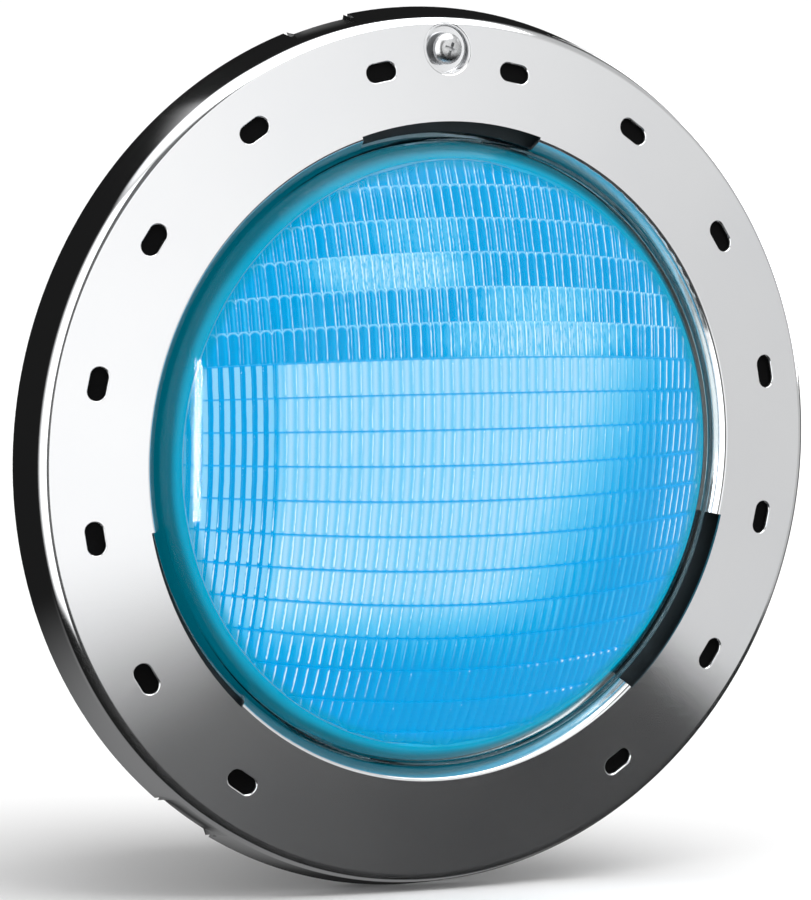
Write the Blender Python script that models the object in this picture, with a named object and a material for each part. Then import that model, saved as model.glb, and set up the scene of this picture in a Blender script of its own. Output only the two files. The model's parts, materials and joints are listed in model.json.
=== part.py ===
"""Underwater pool light: a stamped face ring holding a domed prismatic lens on a deep-drawn housing.

Metres, +Z up. The origin is the centre of the plane of the face ring's rear edge, which is where the
light meets the wall niche. The front faces -Y, and the housing reaches into the wall along +Y.
"""

import math

import bmesh
import bpy
from mathutils import Matrix, Vector

MM = 0.001

# Face ring: one stainless stamping. Depths count back from the plane of the slot circle.
RING_EDGE_DEPTH = 16.6 * MM
RING_SHEET = 1.0 * MM
FACE_WIDTH = 34.5 * MM
CORNER_INSET = 2.9 * MM
CORNER_FILLET = 4.7 * MM
SLOT_INSET = 17.3 * MM
FACE_SLOPE = 0.19
OPENING_FILLET = 3.0 * MM
COLLAR_CLEARANCE = 0.5 * MM
COLLAR_RUN = 3.7 * MM
COLLAR_DEPTH = 2.6 * MM
COLLAR_GAP_DEG = 35.5
COLLAR_GAPS = 3
SLOT_LENGTH = 9.9 * MM
SLOT_WIDTH = 5.55 * MM
SLOT_PITCH_DEG = 22.5
SLOTS = 14
TAB_ANGLES_DEG = (100.0, 215.0, 344.0)
TAB_SPREAD_DEG = 9.0
RELIEF_WIDTH = 1.2 * MM
RELIEF_DEPTH = 6.0 * MM

# Pilot screw at the top of the ring, in a round dimple.
PILOT_INSET = 12.3 * MM
DIMPLE_RADIUS = 7.4 * MM
DIMPLE_FLOOR = 3.2 * MM
PILOT_HEAD_RADIUS = 4.75 * MM
PILOT_HEAD_HEIGHT = 3.0 * MM
PILOT_SHANK_RADIUS = 2.4 * MM
PILOT_LENGTH = 38.0 * MM
PILOT_STANDOFF = 1.5 * MM
PILOT_WASHER_RADIUS = 6.5 * MM
PILOT_WASHER_THICKNESS = 3.0 * MM
PILOT_WASHER_DROP = 12.0 * MM

# Lens: a glass dome with a shoulder and a flange.
DOME_SAG = 23.93 * MM
DOME_HEIGHT = 28.5 * MM
DOME_EDGE_INSET = 3.8 * MM
GLASS = 5.0 * MM
SHOULDER_FILLET = 3.0 * MM
PRISM_EDGE_INSET = 6.3 * MM
LENS_BORE_INSET = 5.3 * MM
LENS_RADIUS = 105.0 * MM
LENS_LEDGE = 10.2 * MM
LENS_FLANGE = 6.0 * MM

# Gasket: a U channel round the lens flange.
GASKET_LIP = 2.7 * MM
GASKET_WALL = 2.3 * MM
GASKET_FRONT_LAP = 9.2 * MM
GASKET_REAR_LAP = 8.0 * MM

# Housing: deep-drawn bowl.
HOUSING_SHEET = 1.2 * MM
HOUSING_MOUTH_INSET = 4.0 * MM
HOUSING_WAIST_INSET = 9.0 * MM
HOUSING_WAIST_DEPTH = 70.0 * MM
HOUSING_BACK_RADIUS = 68.0 * MM
HOUSING_DEPTH = 101.0 * MM

# Clamp: eight V segments under a sprung wire ring, drawn tight by one screw at the bottom.
SEGMENTS = 8
SEGMENT_SPREAD_DEG = 25.0
SEGMENT_SHEET = 1.0 * MM
SEGMENT_LEG = 5.0 * MM
WIRE_RADIUS = 1.6 * MM
LUG_SIZE = Vector((8.0, 7.0, 14.6)) * MM
LUG_OFFSET = 12.0 * MM
LUG_BORE_DROP = 3.3 * MM
LUG_SCREW_DROP = 10.6 * MM
CLAMP_SCREW_RADIUS = 2.5 * MM
CLAMP_SCREW_LENGTH = 42.0 * MM
CLAMP_HEAD_RADIUS = 4.25 * MM
CLAMP_HEAD_HEIGHT = 4.0 * MM
CLAMP_WASHER_RADIUS = 4.9 * MM
CLAMP_WASHER_THICKNESS = 1.0 * MM

# Retaining ring and niche hook, both welded behind the face ring.
RETAINER_SHEET = 1.0 * MM
RETAINER_WALL_INSET = 2.5 * MM
HOOK_WIDTH = 20.0 * MM
HOOK_SHEET = 1.5 * MM
HOOK_CLEARANCE = 1.2 * MM
HOOK_START = -10.0 * MM
HOOK_REACH = 9.5 * MM
HOOK_TONGUE = 5.0 * MM

# Rubber backing behind the slots, which beds on the niche's rim.
BACKING_INNER_LAP = 6.1 * MM
BACKING_OUTER_INSET = 4.0 * MM
BACKING_THICKNESS = 2.0 * MM

# Light engine. Depths are along +Y from the origin.
SINK_FRONT = 24.0 * MM
SINK_PLATE = 4.0 * MM
SINK_FINS = 12.0 * MM
SINK_OVERHANG = 7.0 * MM
FIN_THICKNESS = 3.0 * MM
FIN_PITCH = 12.0 * MM
FINS = 9
LED_BOARD_INSET = 9.0 * MM
LED_BOARD_THICKNESS = 1.6 * MM
LED_SIZE = 5.0 * MM
LED_HEIGHT = 2.0 * MM
LED_CIRCLE_INSET = 13.5 * MM
LEDS_ON_CIRCLE = 8
REFLECTOR_SHEET = 0.8 * MM
REFLECTOR_FOOT_INSET = 6.5 * MM
REFLECTOR_FLARE = 8.5 * MM
REFLECTOR_LIP = 4.0 * MM
REFLECTOR_LIP_INSET = 5.0 * MM
REFLECTOR_LIP_DEPTH = -2.6 * MM
BOARD_SCREW_INSET = 3.3 * MM
STANDOFF_INSET = 13.0 * MM
STANDOFF_LAND = 2.1 * MM
STANDOFF_RADIUS = 4.0 * MM
M3_RADIUS = 1.5 * MM
M4_RADIUS = 2.0 * MM
SCREW_HEAD_RATIO = 1.8
DRIVER_FRONT = 66.0 * MM
DRIVER_THICKNESS = 1.6 * MM
DRIVER_OVERHANG = 5.0 * MM

# Transformer, capacitor and terminal block stand on the driver board's front.
CORE_MEAN_RADIUS = 13.0 * MM
CORE_SECTION_RADIUS = 6.0 * MM
CORE_CENTRE = Vector((-22.0, 0.0, 14.0)) * MM
CAPACITOR_RADIUS = 7.5 * MM
CAPACITOR_LENGTH = 22.0 * MM
CAPACITOR_CENTRE = Vector((20.0, 0.0, 20.0)) * MM
TERMINAL_SIZE = Vector((34.0, 11.0, 12.0)) * MM
TERMINAL_CENTRE = Vector((0.0, 0.0, -26.0)) * MM

# Earth lug inside the bowl, bonding lug outside it.
LUG_PLATE = Vector((12.0, 1.5, 24.0)) * MM
LUG_HOLE_OFFSET = 6.0 * MM
EARTH_INSET = 34.0 * MM
EARTH_LIFT = 24.0 * MM
BONDING_INSET = 30.0 * MM
LUG_SCREW_LENGTH = 5.0 * MM

# Cord gland through the middle of the bowl's back.
GLAND_BORE_RADIUS = 4.5 * MM
GLAND_THREAD_RADIUS = 9.0 * MM
GLAND_HEX_RADIUS = 15.0 * MM
GLAND_HEX_HEIGHT = 7.0 * MM
GLAND_NECK = 12.0 * MM
GLAND_INSIDE = 14.0 * MM
GLAND_NUT_RADIUS = 14.0 * MM
GLAND_NUT_WALL = 3.0 * MM
GLAND_SEAL_RADIUS = 7.0 * MM
GLAND_SEAL_LENGTH = 12.0 * MM
LOCKNUT_HEIGHT = 5.0 * MM
GLAND_WASHER_THICKNESS = 2.0 * MM

# Clearances: GAP between pieces that touch, RUN between a screw and its hole.
GAP = 0.3 * MM
RUN = 0.3 * MM

RING_STEPS = 48
SMALL_STEPS = 12
FILLET_STEPS = 3
DOME_STEPS = 5
MERGE = 1e-6

# Radii, all worked out from the lens that the ring and the housing close on.
SHOULDER_RADIUS = LENS_RADIUS - LENS_LEDGE
DOME_EDGE_RADIUS = SHOULDER_RADIUS - DOME_EDGE_INSET
DOME_RADIUS = (DOME_EDGE_RADIUS ** 2 + DOME_SAG ** 2) / (2 * DOME_SAG)
PRISM_EDGE_RADIUS = SHOULDER_RADIUS - PRISM_EDGE_INSET
LENS_BORE_RADIUS = SHOULDER_RADIUS - LENS_BORE_INSET
COLLAR_RADIUS = SHOULDER_RADIUS + COLLAR_CLEARANCE
OPENING_RADIUS = COLLAR_RADIUS + COLLAR_RUN
RING_OUTER_RADIUS = OPENING_RADIUS + FACE_WIDTH
CORNER_RADIUS = RING_OUTER_RADIUS - CORNER_INSET
SLOT_CIRCLE_RADIUS = OPENING_RADIUS + SLOT_INSET
PILOT_RADIUS = RING_OUTER_RADIUS - PILOT_INSET
BACKING_INNER_RADIUS = SLOT_CIRCLE_RADIUS - BACKING_INNER_LAP
BACKING_OUTER_RADIUS = CORNER_RADIUS - BACKING_OUTER_INSET
HOUSING_MOUTH_RADIUS = LENS_RADIUS - HOUSING_MOUTH_INSET
HOUSING_WAIST_RADIUS = HOUSING_MOUTH_RADIUS - HOUSING_WAIST_INSET
RETAINER_WALL_RADIUS = LENS_RADIUS - RETAINER_WALL_INSET
STANDOFF_CIRCLE = HOUSING_BACK_RADIUS - STANDOFF_INSET
SINK_RADIUS = STANDOFF_CIRCLE + SINK_OVERHANG
LED_BOARD_RADIUS = STANDOFF_CIRCLE - LED_BOARD_INSET
BOARD_SCREW_CIRCLE = LED_BOARD_RADIUS - BOARD_SCREW_INSET
REFLECTOR_FOOT_RADIUS = LED_BOARD_RADIUS - REFLECTOR_FOOT_INSET
REFLECTOR_NECK_RADIUS = REFLECTOR_FOOT_RADIUS + REFLECTOR_FLARE
LED_CIRCLE_RADIUS = REFLECTOR_FOOT_RADIUS - LED_CIRCLE_INSET
EARTH_CENTRE = Vector((EARTH_INSET - HOUSING_BACK_RADIUS, 0.0, EARTH_LIFT))
BONDING_CENTRE = Vector((HOUSING_BACK_RADIUS - BONDING_INSET, 0.0, 0.0))
DRIVER_RADIUS = STANDOFF_CIRCLE + DRIVER_OVERHANG
REFLECTOR_LIP_RADIUS = HOUSING_MOUTH_RADIUS - REFLECTOR_LIP_INSET
REFLECTOR_MOUTH_RADIUS = REFLECTOR_LIP_RADIUS - REFLECTOR_LIP

# Where things lie along Y, all worked out from the plane of the slot circle.
SLOT_PLANE = -RING_EDGE_DEPTH
OPENING_LIFT = (SLOT_CIRCLE_RADIUS - OPENING_RADIUS) * FACE_SLOPE
COLLAR_LEAN = COLLAR_RUN / math.hypot(COLLAR_RUN, COLLAR_DEPTH + OPENING_LIFT)
RETAINER_REAR = SLOT_PLANE + COLLAR_DEPTH + RING_SHEET * COLLAR_LEAN
GASKET_FRONT = RETAINER_REAR + GAP
LENS_FLANGE_FRONT = GASKET_FRONT + GASKET_LIP + GAP
LENS_REAR = LENS_FLANGE_FRONT + LENS_FLANGE
GASKET_REAR = LENS_REAR + GAP + GASKET_LIP
FLANGE_FRONT = GASKET_REAR + GAP
FLANGE_REAR = FLANGE_FRONT + HOUSING_SHEET
STACK_RADIUS = LENS_RADIUS + GAP + GASKET_WALL
SEGMENT_INNER_RADIUS = STACK_RADIUS + GAP
WIRE_CIRCLE_RADIUS = SEGMENT_INNER_RADIUS + SEGMENT_SHEET + GAP + WIRE_RADIUS
PILOT_SEAT = SLOT_PLANE + DIMPLE_FLOOR
HOOK_RADIUS = CORNER_RADIUS - RING_SHEET - HOOK_SHEET - HOOK_CLEARANCE
BACK_INSIDE = HOUSING_DEPTH - HOUSING_SHEET
BOARD_REAR = SINK_FRONT - GAP
BOARD_FRONT = BOARD_REAR - LED_BOARD_THICKNESS
FOOT_REAR = BOARD_FRONT - GAP
SINK_REAR = SINK_FRONT + SINK_PLATE
DRIVER_REAR = DRIVER_FRONT + DRIVER_THICKNESS


def clear_scene():
    for obj in list(bpy.data.objects):
        bpy.data.objects.remove(obj, do_unlink=True)


def finish(name, color, roughness, metallic=0.0, transmission=0.0):
    """A Principled material of this name, made once."""
    made = bpy.data.materials.get(name)
    if made:
        return made
    made = bpy.data.materials.new(name)
    made.use_nodes = True
    shader = made.node_tree.nodes["Principled BSDF"]
    shader.inputs["Base Color"].default_value = (*color, 1.0)
    shader.inputs["Roughness"].default_value = roughness
    shader.inputs["Metallic"].default_value = metallic
    shader.inputs["Transmission Weight"].default_value = transmission
    return made


STAINLESS = finish("polished_stainless", (0.82, 0.83, 0.84), 0.12, 1.0)
DRAWN_STEEL = finish("drawn_stainless", (0.66, 0.67, 0.68), 0.34, 1.0)
GLASS_BLUE = finish("blue_glass", (0.03, 0.45, 0.80), 0.08, 0.0, 0.7)
RUBBER = finish("black_rubber", (0.02, 0.03, 0.035), 0.7)
WHITE_PLASTIC = finish("white_reflector", (0.86, 0.88, 0.9), 0.3)
ALUMINIUM = finish("aluminium", (0.7, 0.71, 0.72), 0.4, 1.0)
BOARD_WHITE = finish("white_board", (0.85, 0.86, 0.84), 0.45)
BOARD_GREEN = finish("green_board", (0.03, 0.2, 0.09), 0.5)
EMITTER = finish("emitter", (0.95, 0.85, 0.4), 0.35)
BRASS = finish("brass", (0.72, 0.55, 0.25), 0.35, 1.0)
COPPER = finish("copper", (0.72, 0.36, 0.2), 0.35, 1.0)
DARK_PLASTIC = finish("dark_plastic", (0.05, 0.05, 0.06), 0.5)


def add(name, bm, material, location=(0, 0, 0), rotation=(0, 0, 0), parent=None):
    """An object made from the bmesh, shaded smooth apart from its sharp edges."""
    bmesh.ops.recalc_face_normals(bm, faces=bm.faces)
    mesh = bpy.data.meshes.new(name)
    bm.to_mesh(mesh)
    bm.free()
    mesh.materials.append(material)
    mesh.shade_smooth()
    mesh.set_sharp_from_angle(angle=math.radians(35))
    obj = bpy.data.objects.new(name, mesh)
    bpy.context.collection.objects.link(obj)
    obj.location = location
    obj.rotation_euler = rotation
    obj.parent = parent
    return obj


def empty(name, location):
    """A marker on a joint's axis, which the pieces that move there hang from."""
    obj = bpy.data.objects.new(name, None)
    bpy.context.collection.objects.link(obj)
    obj.location = location
    obj.empty_display_size = 5 * MM
    return obj


def rounded(points, steps=FILLET_STEPS):
    """The points as a path. A point's third number is the radius that rounds it."""
    path = []
    for i, point in enumerate(points):
        corner = Vector(point[:2])
        if len(point) == 2:
            path.append(corner)
            continue
        before = (Vector(points[i - 1][:2]) - corner).normalized()
        after = (Vector(points[i + 1][:2]) - corner).normalized()
        half = before.angle(after) / 2
        centre = corner + (before + after).normalized() * (point[2] / math.sin(half))
        reach = point[2] / math.tan(half)
        spoke = corner + before * reach - centre
        turn = -spoke.angle_signed(corner + after * reach - centre)
        for step in range(steps + 1):
            path.append(centre + Matrix.Rotation(turn * step / steps, 2) @ spoke)
    return path


def sheet(face, thickness):
    """The closed outline of a metal sheet: one face's path, and the other face to its right."""
    other = []
    for i, point in enumerate(face):
        ahead = (face[min(i + 1, len(face) - 1)] - point).normalized()
        behind = (point - face[max(i - 1, 0)]).normalized()
        ahead = ahead if ahead.length else behind
        behind = behind if behind.length else ahead
        across = Vector((ahead.y + behind.y, -ahead.x - behind.x)).normalized()
        square = Vector((ahead.y, -ahead.x))
        other.append(point + across * (thickness / across.dot(square)))
    return list(face) + other[::-1]


def arc(centre_y, radius, first, last, steps=DOME_STEPS):
    """Points of a circle about (0, centre_y) from one distance off the axis to another, on its -Y side."""
    turns = [math.asin(first / radius), math.asin(last / radius)]
    angles = [turns[0] + (turns[1] - turns[0]) * step / steps for step in range(steps + 1)]
    return [Vector((radius * math.sin(a), centre_y - radius * math.cos(a))) for a in angles]


def turned_mesh(outline, steps, closed=True):
    """The outline of (distance off the axis, y) turned about the Y axis."""
    bm = bmesh.new()
    points = [bm.verts.new((point[0], point[1], 0)) for point in outline]
    edges = [bm.edges.new(pair) for pair in zip(points, points[1:])]
    if closed:
        edges.append(bm.edges.new((points[-1], points[0])))
    bmesh.ops.spin(
        bm, geom=points + edges, cent=(0, 0, 0), axis=(0, 1, 0),
        angle=2 * math.pi, steps=steps, use_merge=True,
    )
    bmesh.ops.remove_doubles(bm, verts=bm.verts, dist=MERGE)
    return bm


def turned(name, outline, material, steps=RING_STEPS, closed=True, **place):
    return add(name, turned_mesh(outline, steps, closed), material, **place)


def box_mesh(size, centre=(0, 0, 0)):
    bm = bmesh.new()
    bmesh.ops.create_cube(bm, size=1)
    bmesh.ops.scale(bm, vec=size, verts=bm.verts)
    bmesh.ops.translate(bm, vec=centre, verts=bm.verts)
    return bm


def box(name, size, material, edge=0.0, **place):
    bm = box_mesh(size)
    if edge:
        bmesh.ops.bevel(
            bm, geom=bm.edges[:], offset=edge, offset_type="OFFSET", segments=1,
            profile=0.5, affect="EDGES", material=-1,
        )
    return add(name, bm, material, **place)


def rod_mesh(radius, start, end, steps=SMALL_STEPS):
    """A cylinder along Y."""
    bm = bmesh.new()
    bmesh.ops.create_cone(
        bm, cap_ends=True, segments=steps, radius1=radius, radius2=radius, depth=end - start,
    )
    bmesh.ops.rotate(bm, matrix=Matrix.Rotation(math.pi / 2, 3, "X"), verts=bm.verts)
    bmesh.ops.translate(bm, vec=(0, (start + end) / 2, 0), verts=bm.verts)
    return bm


def sector_mesh(inner, outer, start, end, first_deg, spread_deg, steps=6):
    """A block that fills part of a ring: angles count clockwise from the top, seen from the front."""
    bm = bmesh.new()
    corners = [(inner, start), (outer, start), (outer, end), (inner, end)]
    face = bm.faces.new([bm.verts.new((0, y, r)) for r, y in corners])
    bmesh.ops.rotate(bm, matrix=about_y(first_deg), verts=bm.verts)
    bmesh.ops.spin(
        bm, geom=bm.verts[:] + bm.edges[:] + [face], cent=(0, 0, 0), axis=(0, 1, 0),
        angle=math.radians(spread_deg), steps=steps,
    )
    bmesh.ops.recalc_face_normals(bm, faces=bm.faces)
    return bm


def about_y(clockwise_deg):
    """A turn clockwise as seen from the front."""
    return Matrix.Rotation(math.radians(clockwise_deg), 3, "Y")


def on_circle(radius, clockwise_deg, y):
    return about_y(clockwise_deg) @ Vector((0, y, radius))


def pour(bm, extra, spot=(0, 0, 0), turn=None):
    """Adds the second bmesh to the first, turned and then moved to the spot."""
    if turn:
        bmesh.ops.rotate(extra, matrix=turn, verts=extra.verts)
    bmesh.ops.translate(extra, vec=spot, verts=extra.verts)
    mesh = bpy.data.meshes.new("poured")
    extra.to_mesh(mesh)
    extra.free()
    bm.from_mesh(mesh)
    bpy.data.meshes.remove(mesh)


def cut(obj, name, bm, operation="DIFFERENCE"):
    """Cuts the bmesh from the object, or joins it on."""
    tool = add(name, bm, obj.data.materials[0])
    tool.parent = obj.parent
    tool.hide_render = True
    tool.display_type = "WIRE"
    change = obj.modifiers.new(name, "BOOLEAN")
    change.operation = operation
    change.solver = "EXACT"
    change.object = tool


def hole_cutter(radius, spots, start, end):
    bm = bmesh.new()
    for spot in spots:
        pour(bm, rod_mesh(radius, start, end), spot)
    return bm


def screw_outline(head_radius, head_height, shank_radius, length):
    """Pan head in front of y = 0, shank behind it."""
    rim = head_height / 3
    return [
        (0, -head_height), (head_radius - rim, -head_height), (head_radius, -head_height + rim),
        (head_radius, 0), (shank_radius, 0), (shank_radius, length - rim),
        (shank_radius - rim / 2, length), (0, length),
    ]


def screw(name, radius, length, material, location, rotation=(0, 0, 0)):
    head = radius * SCREW_HEAD_RATIO
    outline = screw_outline(head, radius * 1.2, radius, length)
    turned(name, outline, material, SMALL_STEPS, False, location=location, rotation=rotation)


def face_y(radius):
    """Depth of the ring's conical front face at this distance off the axis."""
    return SLOT_PLANE + (radius - SLOT_CIRCLE_RADIUS) * FACE_SLOPE


def obround_mesh(length, width, depth):
    """A slot's shape: long along X, running through Y."""
    bm = bmesh.new()
    reach = (length - width) / 2
    rim = []
    for side in (1, -1):
        for step in range(6):
            angle = math.radians(-90 + 36 * step) if side > 0 else math.radians(90 + 36 * step)
            spot = Vector((math.cos(angle), 0, math.sin(angle))) * (width / 2)
            rim.append(bm.verts.new(spot + Vector((side * reach, -depth / 2, 0))))
    face = bm.faces.new(rim)
    grown = bmesh.ops.extrude_face_region(bm, geom=[face])["geom"]
    moved = [item for item in grown if isinstance(item, bmesh.types.BMVert)]
    bmesh.ops.translate(bm, vec=(0, depth, 0), verts=moved)
    bmesh.ops.recalc_face_normals(bm, faces=bm.faces)
    return bm


def slot_angles():
    """Symmetric about the top, leaving the bottom free."""
    first = -SLOT_PITCH_DEG * (SLOTS - 1) / 2
    return [first + SLOT_PITCH_DEG * i for i in range(SLOTS)]


def face_ring():
    corner_y = face_y(CORNER_RADIUS)
    front = rounded([
        (RING_OUTER_RADIUS, 0),
        (CORNER_RADIUS, corner_y, CORNER_FILLET),
        (OPENING_RADIUS, face_y(OPENING_RADIUS), OPENING_FILLET),
        (COLLAR_RADIUS, SLOT_PLANE + COLLAR_DEPTH),
    ])
    ring = turned("face_ring", sheet(front, RING_SHEET), STAINLESS)

    gaps = bmesh.new()
    collar_top = face_y(OPENING_RADIUS) + OPENING_FILLET / 2
    for i in range(COLLAR_GAPS):
        start = i * 360 / COLLAR_GAPS - COLLAR_GAP_DEG / 2
        inner = COLLAR_RADIUS - 3 * RING_SHEET
        pour(gaps, sector_mesh(inner, OPENING_RADIUS + RING_SHEET, collar_top,
                               SLOT_PLANE + 2 * COLLAR_DEPTH, start, COLLAR_GAP_DEG))
    cut(ring, "cut_collar_gaps", gaps)

    slots = bmesh.new()
    for angle in slot_angles():
        spot = on_circle(SLOT_CIRCLE_RADIUS, angle, SLOT_PLANE)
        pour(slots, obround_mesh(SLOT_LENGTH, SLOT_WIDTH, 6 * RING_SHEET), spot, about_y(angle))
    spot = on_circle(PILOT_RADIUS, 0, SLOT_PLANE)
    pour(slots, rod_mesh(DIMPLE_RADIUS, -4 * RING_SHEET, 4 * RING_SHEET), spot)
    reliefs = (RELIEF_WIDTH, RELIEF_DEPTH * 2, CORNER_FILLET)
    for middle in TAB_ANGLES_DEG:
        for side in (-1, 1):
            angle = middle + side * TAB_SPREAD_DEG / 2
            middle_radius = RING_OUTER_RADIUS - RING_SHEET
            pour(slots, box_mesh(reliefs), on_circle(middle_radius, angle, 0), about_y(angle))
    cut(ring, "cut_slots", slots)
    cut(ring, "join_dimple", dimple_mesh(), "UNION")
    return ring


def dimple_mesh():
    """A flat-floored cup for the pilot screw. Its wall's rim follows the ring's sloping face."""
    cup_radius = DIMPLE_RADIUS + RING_SHEET * 0.8
    hole = PILOT_SHANK_RADIUS + 3 * RUN
    floor = PILOT_SEAT + RING_SHEET
    rim = face_y(PILOT_RADIUS - cup_radius) - RING_SHEET
    outline = [
        (hole, PILOT_SEAT), (DIMPLE_RADIUS - RING_SHEET / 2, PILOT_SEAT),
        (DIMPLE_RADIUS - RING_SHEET / 2, rim), (cup_radius, rim), (cup_radius, floor), (hole, floor),
    ]
    bm = turned_mesh(outline, 24)
    bmesh.ops.translate(bm, vec=(0, 0, PILOT_RADIUS), verts=bm.verts)
    lean = Vector((0, 1, -FACE_SLOPE)).normalized()
    below_face = Vector((0, face_y(PILOT_RADIUS) + RING_SHEET / 4, PILOT_RADIUS))
    sliced = bmesh.ops.bisect_plane(
        bm, geom=bm.verts[:] + bm.edges[:] + bm.faces[:], plane_co=below_face, plane_no=-lean,
        clear_outer=True,
    )
    edges = [item for item in sliced["geom_cut"] if isinstance(item, bmesh.types.BMEdge)]
    bmesh.ops.bridge_loops(bm, edges=edges)
    return bm


def retaining_ring():
    """L-section ring behind the opening. The clamp's segments hook over its flange."""
    middle = RETAINER_WALL_RADIUS
    front = rounded([
        (middle, face_y(middle) + RING_SHEET * 1.1 + GAP),
        (middle, RETAINER_REAR, RETAINER_SHEET * 1.2),
        (STACK_RADIUS, RETAINER_REAR),
    ], 1)
    turned("retaining_ring", sheet(front, RETAINER_SHEET), DRAWN_STEEL)


def ring_backing():
    """Rubber annulus against the back of the ring's face, notched round the pilot screw's cup."""
    face = [
        Vector((radius, face_y(radius) + RING_SHEET * 1.05 + GAP))
        for radius in (BACKING_OUTER_RADIUS, BACKING_INNER_RADIUS)
    ]
    backing = turned("ring_backing", sheet(face, BACKING_THICKNESS), RUBBER)
    spot = on_circle(PILOT_RADIUS, 0, SLOT_PLANE)
    notch = rod_mesh(DIMPLE_RADIUS + RING_SHEET + GAP, -4 * RING_SHEET, 8 * RING_SHEET, 24)
    bmesh.ops.translate(notch, vec=spot, verts=notch.verts)
    cut(backing, "cut_pilot_notch", notch)


def niche_hook():
    """Strap at the bottom that reaches behind the niche's front lip."""
    bm = bmesh.new()
    face = rounded([
        (HOOK_START, -HOOK_RADIUS), (HOOK_REACH, -HOOK_RADIUS, HOOK_SHEET * 1.5),
        (HOOK_REACH, -HOOK_RADIUS - HOOK_TONGUE),
    ])
    outline = sheet(face, HOOK_SHEET)
    rim = [bm.verts.new((-HOOK_WIDTH / 2, point.x, point.y)) for point in outline]
    flat = bm.faces.new(rim)
    grown = bmesh.ops.extrude_face_region(bm, geom=[flat])["geom"]
    moved = [item for item in grown if isinstance(item, bmesh.types.BMVert)]
    bmesh.ops.translate(bm, vec=(HOOK_WIDTH, 0, 0), verts=moved)
    add("niche_hook", bm, DRAWN_STEEL)


def pilot_screw():
    """Captive screw. Its washer carries the travel, and the screw turns in the washer."""
    carrier = empty("pilot_axis", (0, 0, PILOT_RADIUS))
    head_rear = PILOT_SEAT - PILOT_STANDOFF
    outline = screw_outline(PILOT_HEAD_RADIUS, PILOT_HEAD_HEIGHT, PILOT_SHANK_RADIUS, PILOT_LENGTH)
    pilot = turned("pilot_screw", outline, STAINLESS, SMALL_STEPS, False,
                   location=(0, head_rear, 0), parent=carrier)
    bar = Vector((PILOT_HEAD_RADIUS * 1.1, PILOT_HEAD_HEIGHT, PILOT_HEAD_RADIUS * 0.24))
    front = head_rear - PILOT_HEAD_HEIGHT * 0.9
    for name, turn in (("cut_recess_across", 0), ("cut_recess_upright", 90)):
        recess = bmesh.new()
        pour(recess, box_mesh(bar), (0, front, 0), about_y(turn))
        cut(pilot, name, recess)
    washer_front = PILOT_SEAT + RING_SHEET + PILOT_WASHER_DROP
    washer_rear = washer_front + PILOT_WASHER_THICKNESS
    inner = PILOT_SHANK_RADIUS + RUN
    turned("pilot_washer",
           [(inner, washer_front), (PILOT_WASHER_RADIUS, washer_front),
            (PILOT_WASHER_RADIUS, washer_rear), (inner, washer_rear)],
           RUBBER, SMALL_STEPS, parent=carrier)


def lens():
    """Smooth dome outside, a parallel dome inside that carries the prisms, and the clamped flange."""
    centre_y = SLOT_PLANE - DOME_HEIGHT + DOME_RADIUS
    outside = arc(centre_y, DOME_RADIUS, 0, DOME_EDGE_RADIUS)
    shoulder_y = centre_y - math.sqrt(DOME_RADIUS ** 2 - (SHOULDER_RADIUS - 1 * MM) ** 2)
    flange = rounded([
        outside[-1],
        (SHOULDER_RADIUS, shoulder_y, SHOULDER_FILLET),
        (SHOULDER_RADIUS, LENS_FLANGE_FRONT),
        (LENS_RADIUS, LENS_FLANGE_FRONT),
        (LENS_RADIUS, LENS_REAR),
        (LENS_BORE_RADIUS, LENS_REAR),
    ])
    inside = arc(centre_y, DOME_RADIUS - GLASS, PRISM_EDGE_RADIUS, 0)
    turned("lens", outside + flange[1:] + inside, GLASS_BLUE, closed=False)


def lens_gasket():
    inner = LENS_RADIUS + GAP
    turned("lens_gasket", [
        (STACK_RADIUS - GASKET_WALL - GASKET_FRONT_LAP, GASKET_FRONT),
        (STACK_RADIUS, GASKET_FRONT),
        (STACK_RADIUS, GASKET_REAR),
        (STACK_RADIUS - GASKET_WALL - GASKET_REAR_LAP, GASKET_REAR),
        (STACK_RADIUS - GASKET_WALL - GASKET_REAR_LAP, LENS_REAR + GAP),
        (inner, LENS_REAR + GAP),
        (inner, LENS_FLANGE_FRONT - GAP),
        (STACK_RADIUS - GASKET_WALL - GASKET_FRONT_LAP, LENS_FLANGE_FRONT - GAP),
    ], RUBBER)


def housing_shell():
    """Deep-drawn bowl with the clamped flange at its mouth and the gland's hole in its back."""
    # The back stays flat out to the land that the standoffs stand on.
    wall = Vector((HOUSING_WAIST_RADIUS - HOUSING_BACK_RADIUS, HOUSING_WAIST_DEPTH - HOUSING_DEPTH))
    reach = STANDOFF_INSET - STANDOFF_RADIUS - STANDOFF_LAND
    back_fillet = reach * math.tan(wall.angle(Vector((-1, 0))) / 2)
    outside = rounded([
        (GLAND_THREAD_RADIUS + RUN, HOUSING_DEPTH),
        (HOUSING_BACK_RADIUS, HOUSING_DEPTH, back_fillet),
        (HOUSING_WAIST_RADIUS, HOUSING_WAIST_DEPTH, 20 * MM),
        (HOUSING_MOUTH_RADIUS, FLANGE_REAR, 2.4 * MM),
        (STACK_RADIUS, FLANGE_REAR),
    ], 2)
    shell = turned("housing_shell", sheet(outside, HOUSING_SHEET), DRAWN_STEEL)
    spots = [BONDING_CENTRE + Vector((0, BACK_INSIDE, -LUG_HOLE_OFFSET))]
    cut(shell, "cut_bonding_hole", hole_cutter(M4_RADIUS + RUN, spots, -5 * MM, 5 * MM))


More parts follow.
